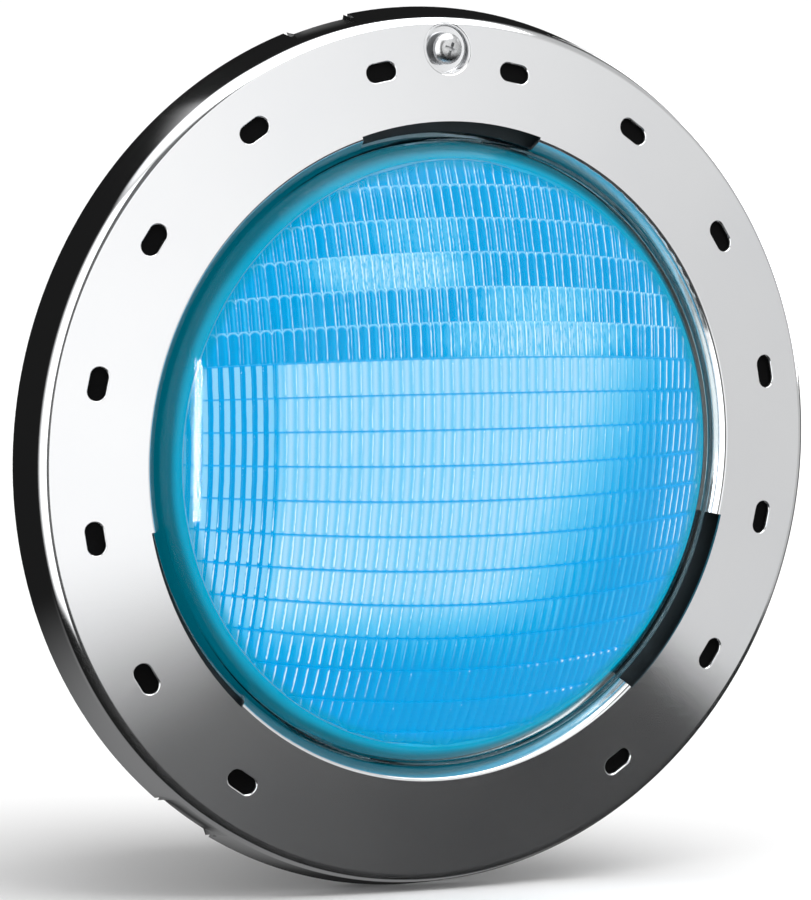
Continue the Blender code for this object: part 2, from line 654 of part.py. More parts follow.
def clamp_segments():
    """V segments: each hooks over the retaining ring's flange in front and the housing's behind."""
    front = RETAINER_REAR - RETAINER_SHEET - GAP - SEGMENT_SHEET
    rear = FLANGE_REAR + GAP + SEGMENT_SHEET
    outer = SEGMENT_INNER_RADIUS + SEGMENT_SHEET
    tip = outer - SEGMENT_LEG
    face = [Vector(point) for point in ((tip, front), (outer, front), (outer, rear), (tip, rear))]
    outline = sheet(face, -SEGMENT_SHEET)
    for i in range(SEGMENTS):
        middle = (i + 0.5) * 360 / SEGMENTS
        bm = bmesh.new()
        rim = bm.faces.new([bm.verts.new((0, point.y, point.x)) for point in outline])
        bmesh.ops.rotate(bm, matrix=about_y(middle - SEGMENT_SPREAD_DEG / 2), verts=bm.verts)
        bmesh.ops.spin(
            bm, geom=bm.verts[:] + bm.edges[:] + [rim], cent=(0, 0, 0), axis=(0, 1, 0),
            angle=math.radians(SEGMENT_SPREAD_DEG), steps=5,
        )
        add(f"clamp_segment_{i + 1}", bm, DRAWN_STEEL)


def clamp_middle():
    """Depth of the clamp wire: halfway along the stack it draws together."""
    return (RETAINER_REAR - RETAINER_SHEET + FLANGE_REAR) / 2


def wire_end_z():
    """Height of the wire's straight ends, which run into the lugs."""
    return -(STACK_RADIUS + GAP + LUG_BORE_DROP)


def clamp_wire():
    """Round wire, open at the bottom, whose ends run level into the lugs."""
    leave = math.degrees(math.asin((LUG_OFFSET + LUG_SIZE.x * 1.6) / WIRE_CIRCLE_RADIUS))
    turns = 48
    ends = (LUG_OFFSET - LUG_SIZE.x / 2 + GAP, LUG_OFFSET + LUG_SIZE.x * 0.6)
    route = [(x, wire_end_z()) for x in ends]
    for step in range(turns + 1):
        angle = math.radians(180 - leave - (360 - 2 * leave) * step / turns)
        route.append((WIRE_CIRCLE_RADIUS * math.sin(angle), WIRE_CIRCLE_RADIUS * math.cos(angle)))
    route += [(-x, z) for x, z in route[1::-1]]
    curve = bpy.data.curves.new("clamp_wire", "CURVE")
    curve.dimensions = "3D"
    curve.bevel_depth = WIRE_RADIUS
    curve.bevel_resolution = 2
    curve.use_fill_caps = True
    spline = curve.splines.new("POLY")
    spline.points.add(len(route) - 1)
    for point, (x, z) in zip(spline.points, route):
        point.co = (x, clamp_middle(), z, 1)
    curve.materials.append(STAINLESS)
    obj = bpy.data.objects.new("clamp_wire", curve)
    bpy.context.collection.objects.link(obj)


def clamp_screw_z():
    return -(STACK_RADIUS + GAP + LUG_SCREW_DROP)


def clamp_lugs():
    """Blocks crimped on the wire's ends. The screw passes the right one and threads into the left."""
    top = -(STACK_RADIUS + GAP)
    middle_z = top - LUG_SIZE.z / 2
    along_x = Matrix.Rotation(math.pi / 2, 3, "Z")
    for side, name in ((-1, "clamp_lug_left"), (1, "clamp_lug_right")):
        middle = (side * LUG_OFFSET, clamp_middle(), middle_z)
        lug = box(name, LUG_SIZE, STAINLESS, 0.8 * MM, location=middle)
        holes = bmesh.new()
        bores = ((WIRE_RADIUS + GAP, wire_end_z()), (CLAMP_SCREW_RADIUS + RUN, clamp_screw_z()))
        for radius, z in bores:
            spot = (side * LUG_OFFSET, clamp_middle(), z)
            pour(holes, rod_mesh(radius, -LUG_SIZE.x, LUG_SIZE.x, 12), spot, along_x)
        cut(lug, "cut_" + name, holes)


def clamp_screw():
    """Tension screw along X. Its washer carries the travel, and the screw turns in the washer."""
    seat = LUG_OFFSET + LUG_SIZE.x / 2 + GAP
    carrier = empty("clamp_axis", (seat, clamp_middle(), clamp_screw_z()))
    head_first = (0, 0, math.pi / 2)
    outline = screw_outline(
        CLAMP_HEAD_RADIUS, CLAMP_HEAD_HEIGHT, CLAMP_SCREW_RADIUS, CLAMP_SCREW_LENGTH)
    tension = turned("clamp_screw", outline, STAINLESS, SMALL_STEPS, False, parent=carrier,
                     location=(CLAMP_WASHER_THICKNESS + GAP, 0, 0), rotation=head_first)
    slot = box_mesh((CLAMP_HEAD_HEIGHT, 1.2 * MM, CLAMP_HEAD_RADIUS * 3))
    head_top = CLAMP_WASHER_THICKNESS + GAP + CLAMP_HEAD_HEIGHT
    bmesh.ops.translate(slot, vec=(head_top, 0, 0), verts=slot.verts)
    cut(tension, "cut_clamp_slot", slot)
    inner = CLAMP_SCREW_RADIUS + RUN
    turned("clamp_washer",
           [(inner, -CLAMP_WASHER_THICKNESS), (CLAMP_WASHER_RADIUS, -CLAMP_WASHER_THICKNESS),
            (CLAMP_WASHER_RADIUS, 0), (inner, 0)],
           STAINLESS, SMALL_STEPS, parent=carrier, rotation=head_first)


def triad(radius, y, first_deg=0.0):
    return [on_circle(radius, first_deg + 120 * i, y) for i in range(3)]


def heat_sink():
    """Round plate with straight fins behind it."""
    rear = SINK_REAR + SINK_FINS
    blank = [(0, SINK_FRONT), (SINK_RADIUS, SINK_FRONT), (SINK_RADIUS, rear), (0, rear)]
    sink = turned("heat_sink", blank, ALUMINIUM, 48, False)
    grooves = bmesh.new()
    width = FIN_PITCH - FIN_THICKNESS
    for i in range(FINS + 1):
        x = (i - FINS / 2) * FIN_PITCH
        size = (width, SINK_FINS + 2 * MM, SINK_RADIUS * 2.2)
        pour(grooves, box_mesh(size), (x, SINK_REAR + SINK_FINS / 2 + 1 * MM, 0))
    cut(sink, "cut_fins", grooves)
    spots = triad(STANDOFF_CIRCLE, 0)
    cut(sink, "cut_standoff_seats", hole_cutter(STANDOFF_RADIUS + 2 * GAP, spots, SINK_REAR, rear + MM))
    cut(sink, "cut_standoff_holes", hole_cutter(M4_RADIUS + RUN, spots, SINK_FRONT - MM, rear))
    spots = triad(BOARD_SCREW_CIRCLE, 0, 60)
    taps = hole_cutter(M3_RADIUS + RUN, spots, SINK_FRONT - MM, SINK_REAR + 2 * MM)
    cut(sink, "cut_board_screw_holes", taps)


def light_board():
    board = turned("led_board",
                   [(0, BOARD_FRONT), (LED_BOARD_RADIUS, BOARD_FRONT), (LED_BOARD_RADIUS, BOARD_REAR),
                    (0, BOARD_REAR)], BOARD_WHITE, 48, False)
    spots = triad(BOARD_SCREW_CIRCLE, 0, 60)
    cut(board, "cut_board_holes", hole_cutter(M3_RADIUS + RUN, spots, BOARD_FRONT - MM, BOARD_REAR + MM))
    led_y = BOARD_FRONT - GAP - LED_HEIGHT / 2
    spots = [Vector((0, led_y, 0))]
    spots += [on_circle(LED_CIRCLE_RADIUS, 360 * i / LEDS_ON_CIRCLE, led_y) for i in range(LEDS_ON_CIRCLE)]
    for i, spot in enumerate(spots):
        box(f"led_{i + 1}", (LED_SIZE, LED_HEIGHT, LED_SIZE), EMITTER, location=spot)


def reflector():
    """White funnel from the light board to the back of the lens, screwed down at its foot."""
    face = rounded([
        (REFLECTOR_LIP_RADIUS, REFLECTOR_LIP_DEPTH),
        (REFLECTOR_MOUTH_RADIUS, REFLECTOR_LIP_DEPTH),
        (REFLECTOR_NECK_RADIUS, FOOT_REAR - REFLECTOR_SHEET),
        (REFLECTOR_FOOT_RADIUS, FOOT_REAR - REFLECTOR_SHEET),
    ])
    funnel = turned("reflector", sheet(face, REFLECTOR_SHEET), WHITE_PLASTIC, 36)
    spots = triad(BOARD_SCREW_CIRCLE, 0, 60)
    cut(funnel, "cut_foot_holes", hole_cutter(M3_RADIUS + RUN, spots, FOOT_REAR - 2 * MM, FOOT_REAR + MM))


def engine_screws():
    for i, spot in enumerate(triad(BOARD_SCREW_CIRCLE, FOOT_REAR - REFLECTOR_SHEET - GAP, 60)):
        screw(f"board_screw_{i + 1}", M3_RADIUS, SINK_REAR - FOOT_REAR, STAINLESS, spot)
    for i, spot in enumerate(triad(STANDOFF_CIRCLE, SINK_FRONT - GAP)):
        screw(f"sink_screw_{i + 1}", M4_RADIUS, SINK_PLATE + 8 * MM, STAINLESS, spot)


def standoffs():
    """Hexagon spacers in front of and behind the driver board, which holds between them."""
    runs = (
        ("front_standoff", SINK_REAR + GAP, DRIVER_FRONT - GAP),
        ("rear_standoff", DRIVER_REAR + GAP, BACK_INSIDE - GAP),
    )
    for name, start, end in runs:
        for i, spot in enumerate(triad(STANDOFF_CIRCLE, 0)):
            hexagon = rod_mesh(STANDOFF_RADIUS, start, end, 6)
            spacer = add(f"{name}_{i + 1}", hexagon, BRASS, location=spot)
            if name == "front_standoff":
                bore = hole_cutter(M4_RADIUS + RUN, [spot], start - MM, start + 10 * MM)
                cut(spacer, f"cut_standoff_{i + 1}", bore)


def driver_board():
    turned("driver_board",
           [(0, DRIVER_FRONT), (DRIVER_RADIUS, DRIVER_FRONT), (DRIVER_RADIUS, DRIVER_REAR),
            (0, DRIVER_REAR)], BOARD_GREEN, 48, False)
    core = bmesh.new()
    rim = [core.verts.new((CORE_MEAN_RADIUS + CORE_SECTION_RADIUS * math.cos(a),
                           CORE_SECTION_RADIUS * math.sin(a), 0))
           for a in (math.pi * i / 4 for i in range(8))]
    edges = [core.edges.new((rim[i], rim[i - 1])) for i in range(8)]
    bmesh.ops.spin(core, geom=rim + edges, cent=(0, 0, 0), axis=(0, 1, 0),
                   angle=2 * math.pi, steps=20, use_merge=True)
    lift = DRIVER_FRONT - GAP - CORE_SECTION_RADIUS
    add("transformer", core, COPPER, location=CORE_CENTRE + Vector((0, lift, 0)))
    can = turned_mesh(
        [(0, -CAPACITOR_LENGTH), (CAPACITOR_RADIUS - MM, -CAPACITOR_LENGTH),
         (CAPACITOR_RADIUS, MM - CAPACITOR_LENGTH), (CAPACITOR_RADIUS, 0), (0, 0)], SMALL_STEPS, False)
    add("capacitor", can, DARK_PLASTIC, location=CAPACITOR_CENTRE + Vector((0, DRIVER_FRONT - GAP, 0)))
    lift = DRIVER_FRONT - GAP - TERMINAL_SIZE.y / 2
    box("terminal_block", TERMINAL_SIZE, DARK_PLASTIC, 0.8 * MM,
        location=TERMINAL_CENTRE + Vector((0, lift, 0)))


def wire_lug(name, centre, y, hole_reach):
    lug = box(name, LUG_PLATE, COPPER, location=centre + Vector((0, y, 0)))
    spots = [centre + Vector((0, y, -LUG_HOLE_OFFSET))]
    cut(lug, "cut_" + name, hole_cutter(M4_RADIUS + RUN, spots, -hole_reach, hole_reach))


def earthing():
    """Inside, a lug under a welded stud's screw; outside, the bonding lug on the bowl's back."""
    inside_y = BACK_INSIDE - GAP - LUG_PLATE.y / 2
    wire_lug("earth_lug", EARTH_CENTRE, inside_y, LUG_PLATE.y)
    head_y = BACK_INSIDE - LUG_PLATE.y - 2 * GAP
    spot = EARTH_CENTRE + Vector((0, head_y, -LUG_HOLE_OFFSET))
    screw("earth_screw", M4_RADIUS, LUG_PLATE.y, BRASS, spot)
    outside_y = HOUSING_DEPTH + GAP + LUG_PLATE.y / 2
    wire_lug("bonding_lug", BONDING_CENTRE, outside_y, LUG_PLATE.y)
    head_y = HOUSING_DEPTH + LUG_PLATE.y + 2 * GAP
    spot = BONDING_CENTRE + Vector((0, head_y, -LUG_HOLE_OFFSET))
    screw("bonding_screw", M4_RADIUS, LUG_SCREW_LENGTH, BRASS, spot, (0, 0, math.pi))


def cord_gland():
    """Gland for the supply cord: the body passes the bowl's back and is held by a locknut inside."""
    washer_front = HOUSING_DEPTH + GAP
    hex_front = washer_front + GLAND_WASHER_THICKNESS + GAP
    hex_rear = hex_front + GLAND_HEX_HEIGHT
    neck_end = hex_rear + GLAND_NECK
    inner_end = HOUSING_DEPTH - GLAND_INSIDE
    body = add("gland_body", rod_mesh(GLAND_HEX_RADIUS, hex_front, hex_rear, 6), BRASS)
    thread = rod_mesh(GLAND_THREAD_RADIUS, inner_end, neck_end, 24)
    cut(body, "join_gland_thread", thread, "UNION")
    cut(body, "cut_gland_bore", rod_mesh(GLAND_BORE_RADIUS, inner_end - MM, neck_end + MM, 24))
    socket_front = neck_end - GLAND_SEAL_LENGTH / 2
    cut(body, "cut_seal_socket", rod_mesh(GLAND_SEAL_RADIUS + RUN, socket_front, neck_end + MM, 24))

    washer_inner = GLAND_THREAD_RADIUS + RUN
    turned("gland_washer",
           [(washer_inner, washer_front), (GLAND_HEX_RADIUS, washer_front),
            (GLAND_HEX_RADIUS, hex_front - GAP), (washer_inner, hex_front - GAP)], RUBBER, 24)
    lock_rear = BACK_INSIDE - GAP
    hexagon = rod_mesh(GLAND_NUT_RADIUS, lock_rear - LOCKNUT_HEIGHT, lock_rear, 6)
    locknut = add("gland_locknut", hexagon, BRASS)
    bore = rod_mesh(washer_inner, lock_rear - LOCKNUT_HEIGHT - MM, lock_rear + MM, 24)
    cut(locknut, "cut_locknut_bore", bore)

    seal_front = socket_front + GAP
    seal_rear = seal_front + GLAND_SEAL_LENGTH
    turned("gland_seal",
           [(GLAND_BORE_RADIUS, seal_front), (GLAND_SEAL_RADIUS, seal_front),
            (GLAND_SEAL_RADIUS, seal_rear), (GLAND_BORE_RADIUS, seal_rear)], RUBBER, 24)
    nut_front = hex_rear + GAP
    shoulder = seal_rear + GAP
    nut_rear = shoulder + GLAND_NUT_WALL
    nut = add("gland_nut", rod_mesh(GLAND_NUT_RADIUS, nut_front, nut_rear, 6), BRASS)
    cut(nut, "cut_nut_bore", rod_mesh(GLAND_THREAD_RADIUS + RUN, nut_front - MM, shoulder, 24))
    cut(nut, "cut_nut_mouth", rod_mesh(GLAND_BORE_RADIUS + RUN, shoulder - MM, nut_rear + MM, 24))


clear_scene()
face_ring()
ring_backing()
retaining_ring()
niche_hook()
pilot_screw()
lens()
lens_gasket()
housing_shell()
clamp_segments()
clamp_wire()
clamp_lugs()
clamp_screw()
heat_sink()
light_board()
reflector()
engine_screws()
standoffs()
driver_board()
earthing()
cord_gland()
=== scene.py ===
# %% [markdown]
# # An underwater pool light
#
# This light sits in the wall of a swimming pool. A polished steel face ring hides the rim of the
# niche, a domed glass lens with moulded prisms spreads the light, and a deep-drawn steel housing
# behind it keeps the water out. We load the measured model first. It fixes every size and place,
# so each finer piece below is built where the measured one lies and then stands for it.

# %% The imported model
import json
import math

import bmesh
import bpy
import numpy as np
from mathutils import Matrix, Vector


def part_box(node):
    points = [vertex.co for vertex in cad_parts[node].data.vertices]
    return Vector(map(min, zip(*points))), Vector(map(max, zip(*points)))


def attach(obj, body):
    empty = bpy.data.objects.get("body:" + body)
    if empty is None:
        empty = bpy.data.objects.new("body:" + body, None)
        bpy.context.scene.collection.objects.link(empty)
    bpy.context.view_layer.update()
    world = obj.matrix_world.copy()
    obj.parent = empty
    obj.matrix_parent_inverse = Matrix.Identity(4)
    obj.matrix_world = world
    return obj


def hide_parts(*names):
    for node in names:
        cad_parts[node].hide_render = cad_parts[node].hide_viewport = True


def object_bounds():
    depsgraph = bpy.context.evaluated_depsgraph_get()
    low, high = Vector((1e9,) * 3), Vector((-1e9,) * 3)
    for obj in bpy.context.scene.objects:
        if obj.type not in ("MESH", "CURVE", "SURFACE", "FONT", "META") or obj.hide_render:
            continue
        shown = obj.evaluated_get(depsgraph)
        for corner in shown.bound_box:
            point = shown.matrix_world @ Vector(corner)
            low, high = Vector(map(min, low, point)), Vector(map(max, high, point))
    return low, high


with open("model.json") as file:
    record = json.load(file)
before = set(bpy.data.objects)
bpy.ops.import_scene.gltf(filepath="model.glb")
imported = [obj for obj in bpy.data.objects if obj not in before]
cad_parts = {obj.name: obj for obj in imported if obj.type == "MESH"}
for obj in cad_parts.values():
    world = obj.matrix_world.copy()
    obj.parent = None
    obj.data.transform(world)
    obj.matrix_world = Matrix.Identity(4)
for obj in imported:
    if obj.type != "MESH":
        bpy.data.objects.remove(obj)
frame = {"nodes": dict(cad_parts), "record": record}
cad_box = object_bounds()
MM = 0.001

# %% [markdown]
# ## Camera, floor and light
#
# The light stands on a plain pale floor and is seen from its left, a little above the middle, with
# a long lens that keeps the ring's ellipse nearly undistorted.

# %% Camera
lens = bpy.data.cameras.new("view")
lens.sensor_width = 36.0
lens.lens = 234.1
lens.clip_end = 200.0
camera = bpy.data.objects.new("view", lens)
camera.location = (-0.8440, -1.5525, 0.1539)
camera.rotation_euler = [math.radians(a) for a in (85.00, -1.21, -28.34)]
bpy.context.scene.collection.objects.link(camera)
bpy.context.scene.camera = camera
bpy.context.scene.view_settings.view_transform = "Standard"
print("camera at", [round(c, 3) for c in camera.location])

# %% [markdown]
# Shader maths is easier to read as Python than as a web of nodes. A `Wire` holds one socket, and
# Python's own operators on it add the Math nodes. A `Tree` makes every other node from its type,
# its settings and its sockets.

# %% A small language for shaders
class Wire:
    """A socket whose value can be used in Python arithmetic."""

    def __init__(self, tree, socket):
        self.tree = tree
        self.socket = socket

    def math(self, operation, *others, clamp=False):
        settings = {"operation": operation, "use_clamp": clamp}
        return self.tree.add("ShaderNodeMath", settings, dict(enumerate((self, *others))))

    def __add__(self, other):
        return self.math("ADD", other)

    def __sub__(self, other):
        return self.math("SUBTRACT", other)

    def __rsub__(self, other):
        return self.tree.number(other).math("SUBTRACT", self)

    def __mul__(self, other):
        return self.math("MULTIPLY", other)

    def __truediv__(self, other):
        return self.math("DIVIDE", other)

    def __neg__(self):
        return self * -1.0

    __radd__ = __add__
    __rmul__ = __mul__

    def clamped(self):
        return self.math("ADD", 0.0, clamp=True)

    def rises(self, start, end):
        """0 below start and 1 above end, with a smooth step between them."""
        settings = {"interpolation_type": "SMOOTHSTEP"}
        sockets = {"Value": self, "From Min": start, "From Max": end}
        return self.tree.add("ShaderNodeMapRange", settings, sockets)

    def bump_at(self, centre, width):
        """1 at the centre, falling smoothly to 0 a width away on either side."""
        return 1.0 - (self - centre).math("ABSOLUTE").rises(0.0, width)


class Tree:
    """The nodes of one material or of the world."""

    def __init__(self, owner):
        owner.use_nodes = True
        self.nodes = owner.node_tree.nodes
        self.links = owner.node_tree.links

    def add(self, kind, settings=None, sockets=None, out=0):
        made = self.nodes.new(kind)
        for name, value in (settings or {}).items():
            if name == "stops":
                self.stops(made.color_ramp, value)
            else:
                setattr(made, name, value)
        self.fill(made, sockets or {})
        return Wire(self, made.outputs[out])

    def stops(self, ramp, stops):
        while len(ramp.elements) < len(stops):
            ramp.elements.new(1.0)
        for element, (place, colour) in zip(ramp.elements, stops):
            element.position = place
            element.color = (*colour, 1.0)

    def fill(self, node, sockets):
        for name, value in sockets.items():
            if isinstance(value, Wire):
                self.links.new(value.socket, node.inputs[name])
            elif isinstance(value, tuple) and len(node.inputs[name].default_value) == 4:
                node.inputs[name].default_value = (*value, 1.0)[:4]
            else:
                node.inputs[name].default_value = value

    def number(self, value):
        made = self.nodes.new("ShaderNodeValue")
        made.outputs[0].default_value = value
        return Wire(self, made.outputs[0])

    def place(self, output="Object"):
        """The point's place as one vector, and as three wires, x, y and z."""
        spot = self.add("ShaderNodeTexCoord", out=output)
        return spot, [self.add("ShaderNodeSeparateXYZ", None, {0: spot}, out=i) for i in range(3)]

    def blend(self, factor, first, second):
        """A colour mix from the first to the second."""
        settings = {"data_type": "RGBA", "clamp_factor": True}
        return self.add("ShaderNodeMix", settings, {0: factor, 6: first, 7: second}, out=2)

    def noise(self, vector, scale, detail=3.0, roughness=0.5):
        sockets = {"Vector": vector, "Scale": scale, "Detail": detail, "Roughness": roughness}
        return self.add("ShaderNodeTexNoise", None, sockets)

    def stretched(self, vector, scale, turn=(0.0, 0.0, 0.0)):
        sockets = {"Vector": vector, "Scale": scale, "Rotation": turn}
        return self.add("ShaderNodeMapping", None, sockets)


# %% [markdown]
# Polished steel shows little of itself and a great deal of the room, so the room is the real
# finish here. It is a wide, soft wall of light in front of the ring, from just below its middle
# upwards, that fades towards the right. Below it and behind the ring the room is dark, which gives
# the ring its dark foot and its nearly black side wall. A direction in the room is a bearing, 0 in
# front of the ring and positive towards its right, and a height above the horizon, in degrees.

# %% The wall of light
world = bpy.data.worlds.new("studio")
bpy.context.scene.world = world
room = Tree(world)
_, (east, north, up) = room.place("Generated")
bearing = east.math("ARCTAN2", -north) * math.degrees(1.0)
leftward = -bearing
height = up.math("ARCSINE") * math.degrees(1.0)
FOOT_OF_WALL = -17.2
softness = ((45.0 - bearing) * 0.15 + 2.0).math("MAXIMUM", 1.8).math("MINIMUM", 7.0)
above_foot = ((height - FOOT_OF_WALL) / softness).rises(-1.0, 1.0)
wall_level = (1.12 - bearing.math("MAXIMUM", -5.0) * 0.0085).math("MAXIMUM", 0.5)
bowed_edge = (bearing + height.bump_at(13.0, 22.0) * 12.0).rises(-13.0, -3.0)
right_edge = 1.0 - bearing.rises(95.0, 125.0)
under_top = 1.0 - (height - bearing * 1.6).rises(32.0, 38.0) * (1.0 - bearing.rises(-2.0, 5.0))
wall = bowed_edge * right_edge * above_foot * under_top
print("wall of light from", FOOT_OF_WALL, "degrees upwards")

# %% [markdown]
# Smaller patches fill what the wall leaves. A bright box at the left draws the thin light edge of
# the side wall, a ceiling closes the room, and a screen behind lights the housing. The rest are
# faint: a glow under the wall, a haze seen in the collar's gaps, and a low band behind the ring.

# %% Smaller patches of light
left_box = leftward.rises(36.0, 43.0) * (1.0 - leftward.rises(66.0, 104.0))
left_box = left_box * height.rises(-36.0, -28.0) * (1.0 - height.rises(44.0, 52.0))
turned_away = bearing.rises(100.0, 130.0) + leftward.rises(165.0, 178.0)
ceiling = (height - turned_away * 15.0).rises(44.0, 56.0)
under_wall = height.rises(-36.0, -20.0) * (1.0 - bearing.rises(12.0, 44.0))
under_wall = under_wall * bearing.rises(-12.0, 0.0)
side = bearing.math("ABSOLUTE")
from_back = side.rises(152.0, 168.0) * height.bump_at(0.0, 32.0)
behind = side.rises(105.0, 125.0) * (1.0 - height.rises(-45.0, -26.0))
gap_haze = bearing.bump_at(-22.0, 24.0) * height.rises(-30.0, -12.0)
DARK_ROOM = 0.012
glow = wall * wall_level
for patch, level in ((left_box, 1.9), (ceiling, 1.35), (under_wall, 0.09), (from_back, 0.9),
                     (behind, 0.2), (gap_haze, 0.12)):
    glow = glow.math("MAXIMUM", patch * level)
print("patches of light joined to the wall")

# %% [markdown]
# The camera itself sees a plain white room, so that the light stands on an even ground.

# %% The room's output
WHITE = (1.0, 1.0, 1.0)
lit_room = room.add("ShaderNodeBackground", None, {"Color": WHITE, "Strength": glow + DARK_ROOM})
pale_room = room.add("ShaderNodeBackground", None, {"Color": WHITE, "Strength": 1.0})
seen = room.add("ShaderNodeLightPath", out="Is Camera Ray")
both = room.add("ShaderNodeMixShader", None, {0: seen, 1: lit_room, 2: pale_room})
room.fill(room.nodes["World Output"], {"Surface": both})
print("room made with", len(room.nodes), "nodes")

# %% [markdown]
# Two lamps add to the room: a soft box behind and a little above, which lights the back of the
# housing, and a wide, high sun for the floor. A third, for the glass alone, comes with the lens.

# %% Lamps
def lamp(name, kind, energy, spot, **settings):
    data = bpy.data.lights.new(name, kind)
    data.energy = energy
    for key, value in settings.items():
        setattr(data, key, value)
    made = bpy.data.objects.new(name, data)
    made.location = spot
    made.rotation_euler = (-Vector(spot)).to_track_quat("-Z", "Y").to_euler()
    bpy.context.scene.collection.objects.link(made)
    return made


def from_bearing(bearing_deg, height_deg, distance):
    turn, rise = math.radians(bearing_deg), math.radians(height_deg)
    flat = distance * math.cos(rise)
    return (flat * math.sin(turn), -flat * math.cos(turn), distance * math.sin(rise))


def panel(name, radiance, size, bearing_deg, height_deg, distance):
    watts = radiance * math.pi * size[0] * size[1]
    spot = from_bearing(bearing_deg, height_deg, distance)
    return lamp(name, "AREA", watts, spot, shape="RECTANGLE", size=size[0], size_y=size[1])


panel("rear_box", 3.0, (1.6, 1.2), 116, 14, 2.4)
lamp("high_sun", "SUN", 1.6, from_bearing(40, 72, 3.0), angle=math.radians(60))
print("lamps placed")

# %% Floor
FLOOR_GAP = 0.3
floor_mesh = bmesh.new()
bmesh.ops.create_grid(floor_mesh, x_segments=2, y_segments=2, size=60.0)
bmesh.ops.translate(floor_mesh, vec=(0, 0, cad_box[0][2] - FLOOR_GAP * MM),
                    verts=floor_mesh.verts)
floor_data = bpy.data.meshes.new("floor")
floor_mesh.to_mesh(floor_data)
floor_mesh.free()
floor = bpy.data.objects.new("floor", floor_data)
bpy.context.scene.collection.objects.link(floor)
paper = bpy.data.materials.new("pale_floor")
sheet_of_paper = Tree(paper)
sheet_of_paper.fill(sheet_of_paper.nodes["Principled BSDF"],
                    {"Base Color": (0.86, 0.86, 0.86), "Roughness": 0.9, "Specular IOR Level": 0.1})
floor_data.materials.append(paper)
floor.visible_glossy = False
print("floor at", round(floor_data.vertices[0].co.z / MM, 1), "mm")

# %% [markdown]
# ## Ways of making a piece
#
# Most of this light was spun or turned about one line, so most pieces start as a wire outline of
# half their section. Corners of the wire are rounded first, while they are single points, and the
# wire is then spun about the Y axis.

# %% Turned shapes
CLOSE = 1e-6


def outline(points, closed=False, steps=6):
    """A wire of (distance off the axis, depth) points in mm. A third number rounds that corner."""
    bm = bmesh.new()
    corners = [Vector((point[0], point[1], 0)) * MM for point in points]
    spots = [bm.verts.new(corner) for corner in corners]
    pairs = list(zip(spots, spots[1:])) + ([(spots[-1], spots[0])] if closed else [])
    for pair in pairs:
        bm.edges.new(pair)
    for i, point in enumerate(points):
        if len(point) < 3:
            continue
        before = corners[i - 1] - corners[i]
        after = corners[(i + 1) % len(points)] - corners[i]
        reach = point[2] * MM / math.tan(before.angle(after) / 2)
        bmesh.ops.bevel(bm, geom=[spots[i]], offset=reach, offset_type="OFFSET", segments=steps,
                        profile=0.5, affect="VERTICES", material=-1)
    return bm


def spin(bm, steps=192):
    bmesh.ops.spin(bm, geom=bm.verts[:] + bm.edges[:], cent=(0, 0, 0), axis=(0, 1, 0),
                   angle=2 * math.pi, steps=steps, use_merge=True)
    tidy(bm)
    return bm


def tidy(bm):
    """Merges doubles, and turns the faces outwards."""
    bmesh.ops.remove_doubles(bm, verts=bm.verts, dist=CLOSE)
    bmesh.ops.recalc_face_normals(bm, faces=bm.faces)


def clock(angle_deg):
    """A turn clockwise as seen from the front."""
    return Matrix.Rotation(math.radians(angle_deg), 3, "Y")


def move(bm, spot_mm=(0, 0, 0), turn=None):
    if turn is not None:
        bmesh.ops.rotate(bm, matrix=turn, verts=bm.verts)
    bmesh.ops.translate(bm, vec=Vector(spot_mm) * MM, verts=bm.verts)
    return bm


def mesh_of(name, bm):
    mesh = bpy.data.meshes.new(name)
    bm.to_mesh(mesh)
    bm.free()
    return mesh


def together(shapes):
    """Several bmeshes as one."""
    bm = bmesh.new()
    for shape in shapes:
        mesh = mesh_of("part", shape)
        bm.from_mesh(mesh)
        bpy.data.meshes.remove(mesh)
    return bm


def combine(body, *steps):
    """The body with each (operation, tool) applied by an exact Boolean."""
    shapes = [body] + [tool for _, tool in steps]
    first, *tools = [bpy.data.objects.new("shape", mesh_of("shape", bm)) for bm in shapes]
    for obj in (first, *tools):
        bpy.context.scene.collection.objects.link(obj)
    for (operation, _), tool in zip(steps, tools):
        change = first.modifiers.new("step", "BOOLEAN")
        change.operation = operation
        change.solver = "EXACT"
        change.object = tool
    graph = bpy.context.evaluated_depsgraph_get()
    result = bmesh.new()
    result.from_object(first, graph)
    for obj in (first, *tools):
        bpy.data.objects.remove(obj)
    return result


# %% [markdown]
# Every finished piece gets its place in its mesh, shaded smooth with sharp corners kept, a finish,
# and the body that it moves with.

# %% Finished pieces
def piece(name, bm, material, stands_for=(), body="light", sharp_deg=32.0):
    mesh = mesh_of(name, bm)
    mesh.materials.append(material)
    mesh.shade_smooth()
    mesh.set_sharp_from_angle(angle=math.radians(sharp_deg))
    obj = bpy.data.objects.new(name, mesh)
    bpy.context.scene.collection.objects.link(obj)
    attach(obj, body)
    if stands_for:
        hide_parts(*stands_for)
    print(f"{name}: {len(mesh.polygons)} faces")
    return obj


# %% [markdown]
# ## Finishes for steel
#
# Steel has three faces on this light. The ring is mirror-polished. The clamp parts are plain
# stainless with a fine brushed grain. The housing is drawn from sheet, which leaves faint rings
# round it and a satin skin. All of them carry a thin haze of handling marks, because a perfect
# mirror looks computed. The rolled collars also show the faint ripples of their bending.

# %% Steel finishes
def finish(name, constants):
    material = bpy.data.materials.new(name)
    tree = Tree(material)
    shader = tree.nodes["Principled BSDF"]
    tree.fill(shader, constants)
    return material, tree, shader


def bumped(tree, height, distance_mm, strength=1.0):
    sockets = {"Height": height, "Distance": distance_mm * MM, "Strength": strength}
    return tree.add("ShaderNodeBump", None, sockets)


def off_axis(x, z):
    return (x * x + z * z).math("SQRT")


COLLAR_RIPPLES = 118.0


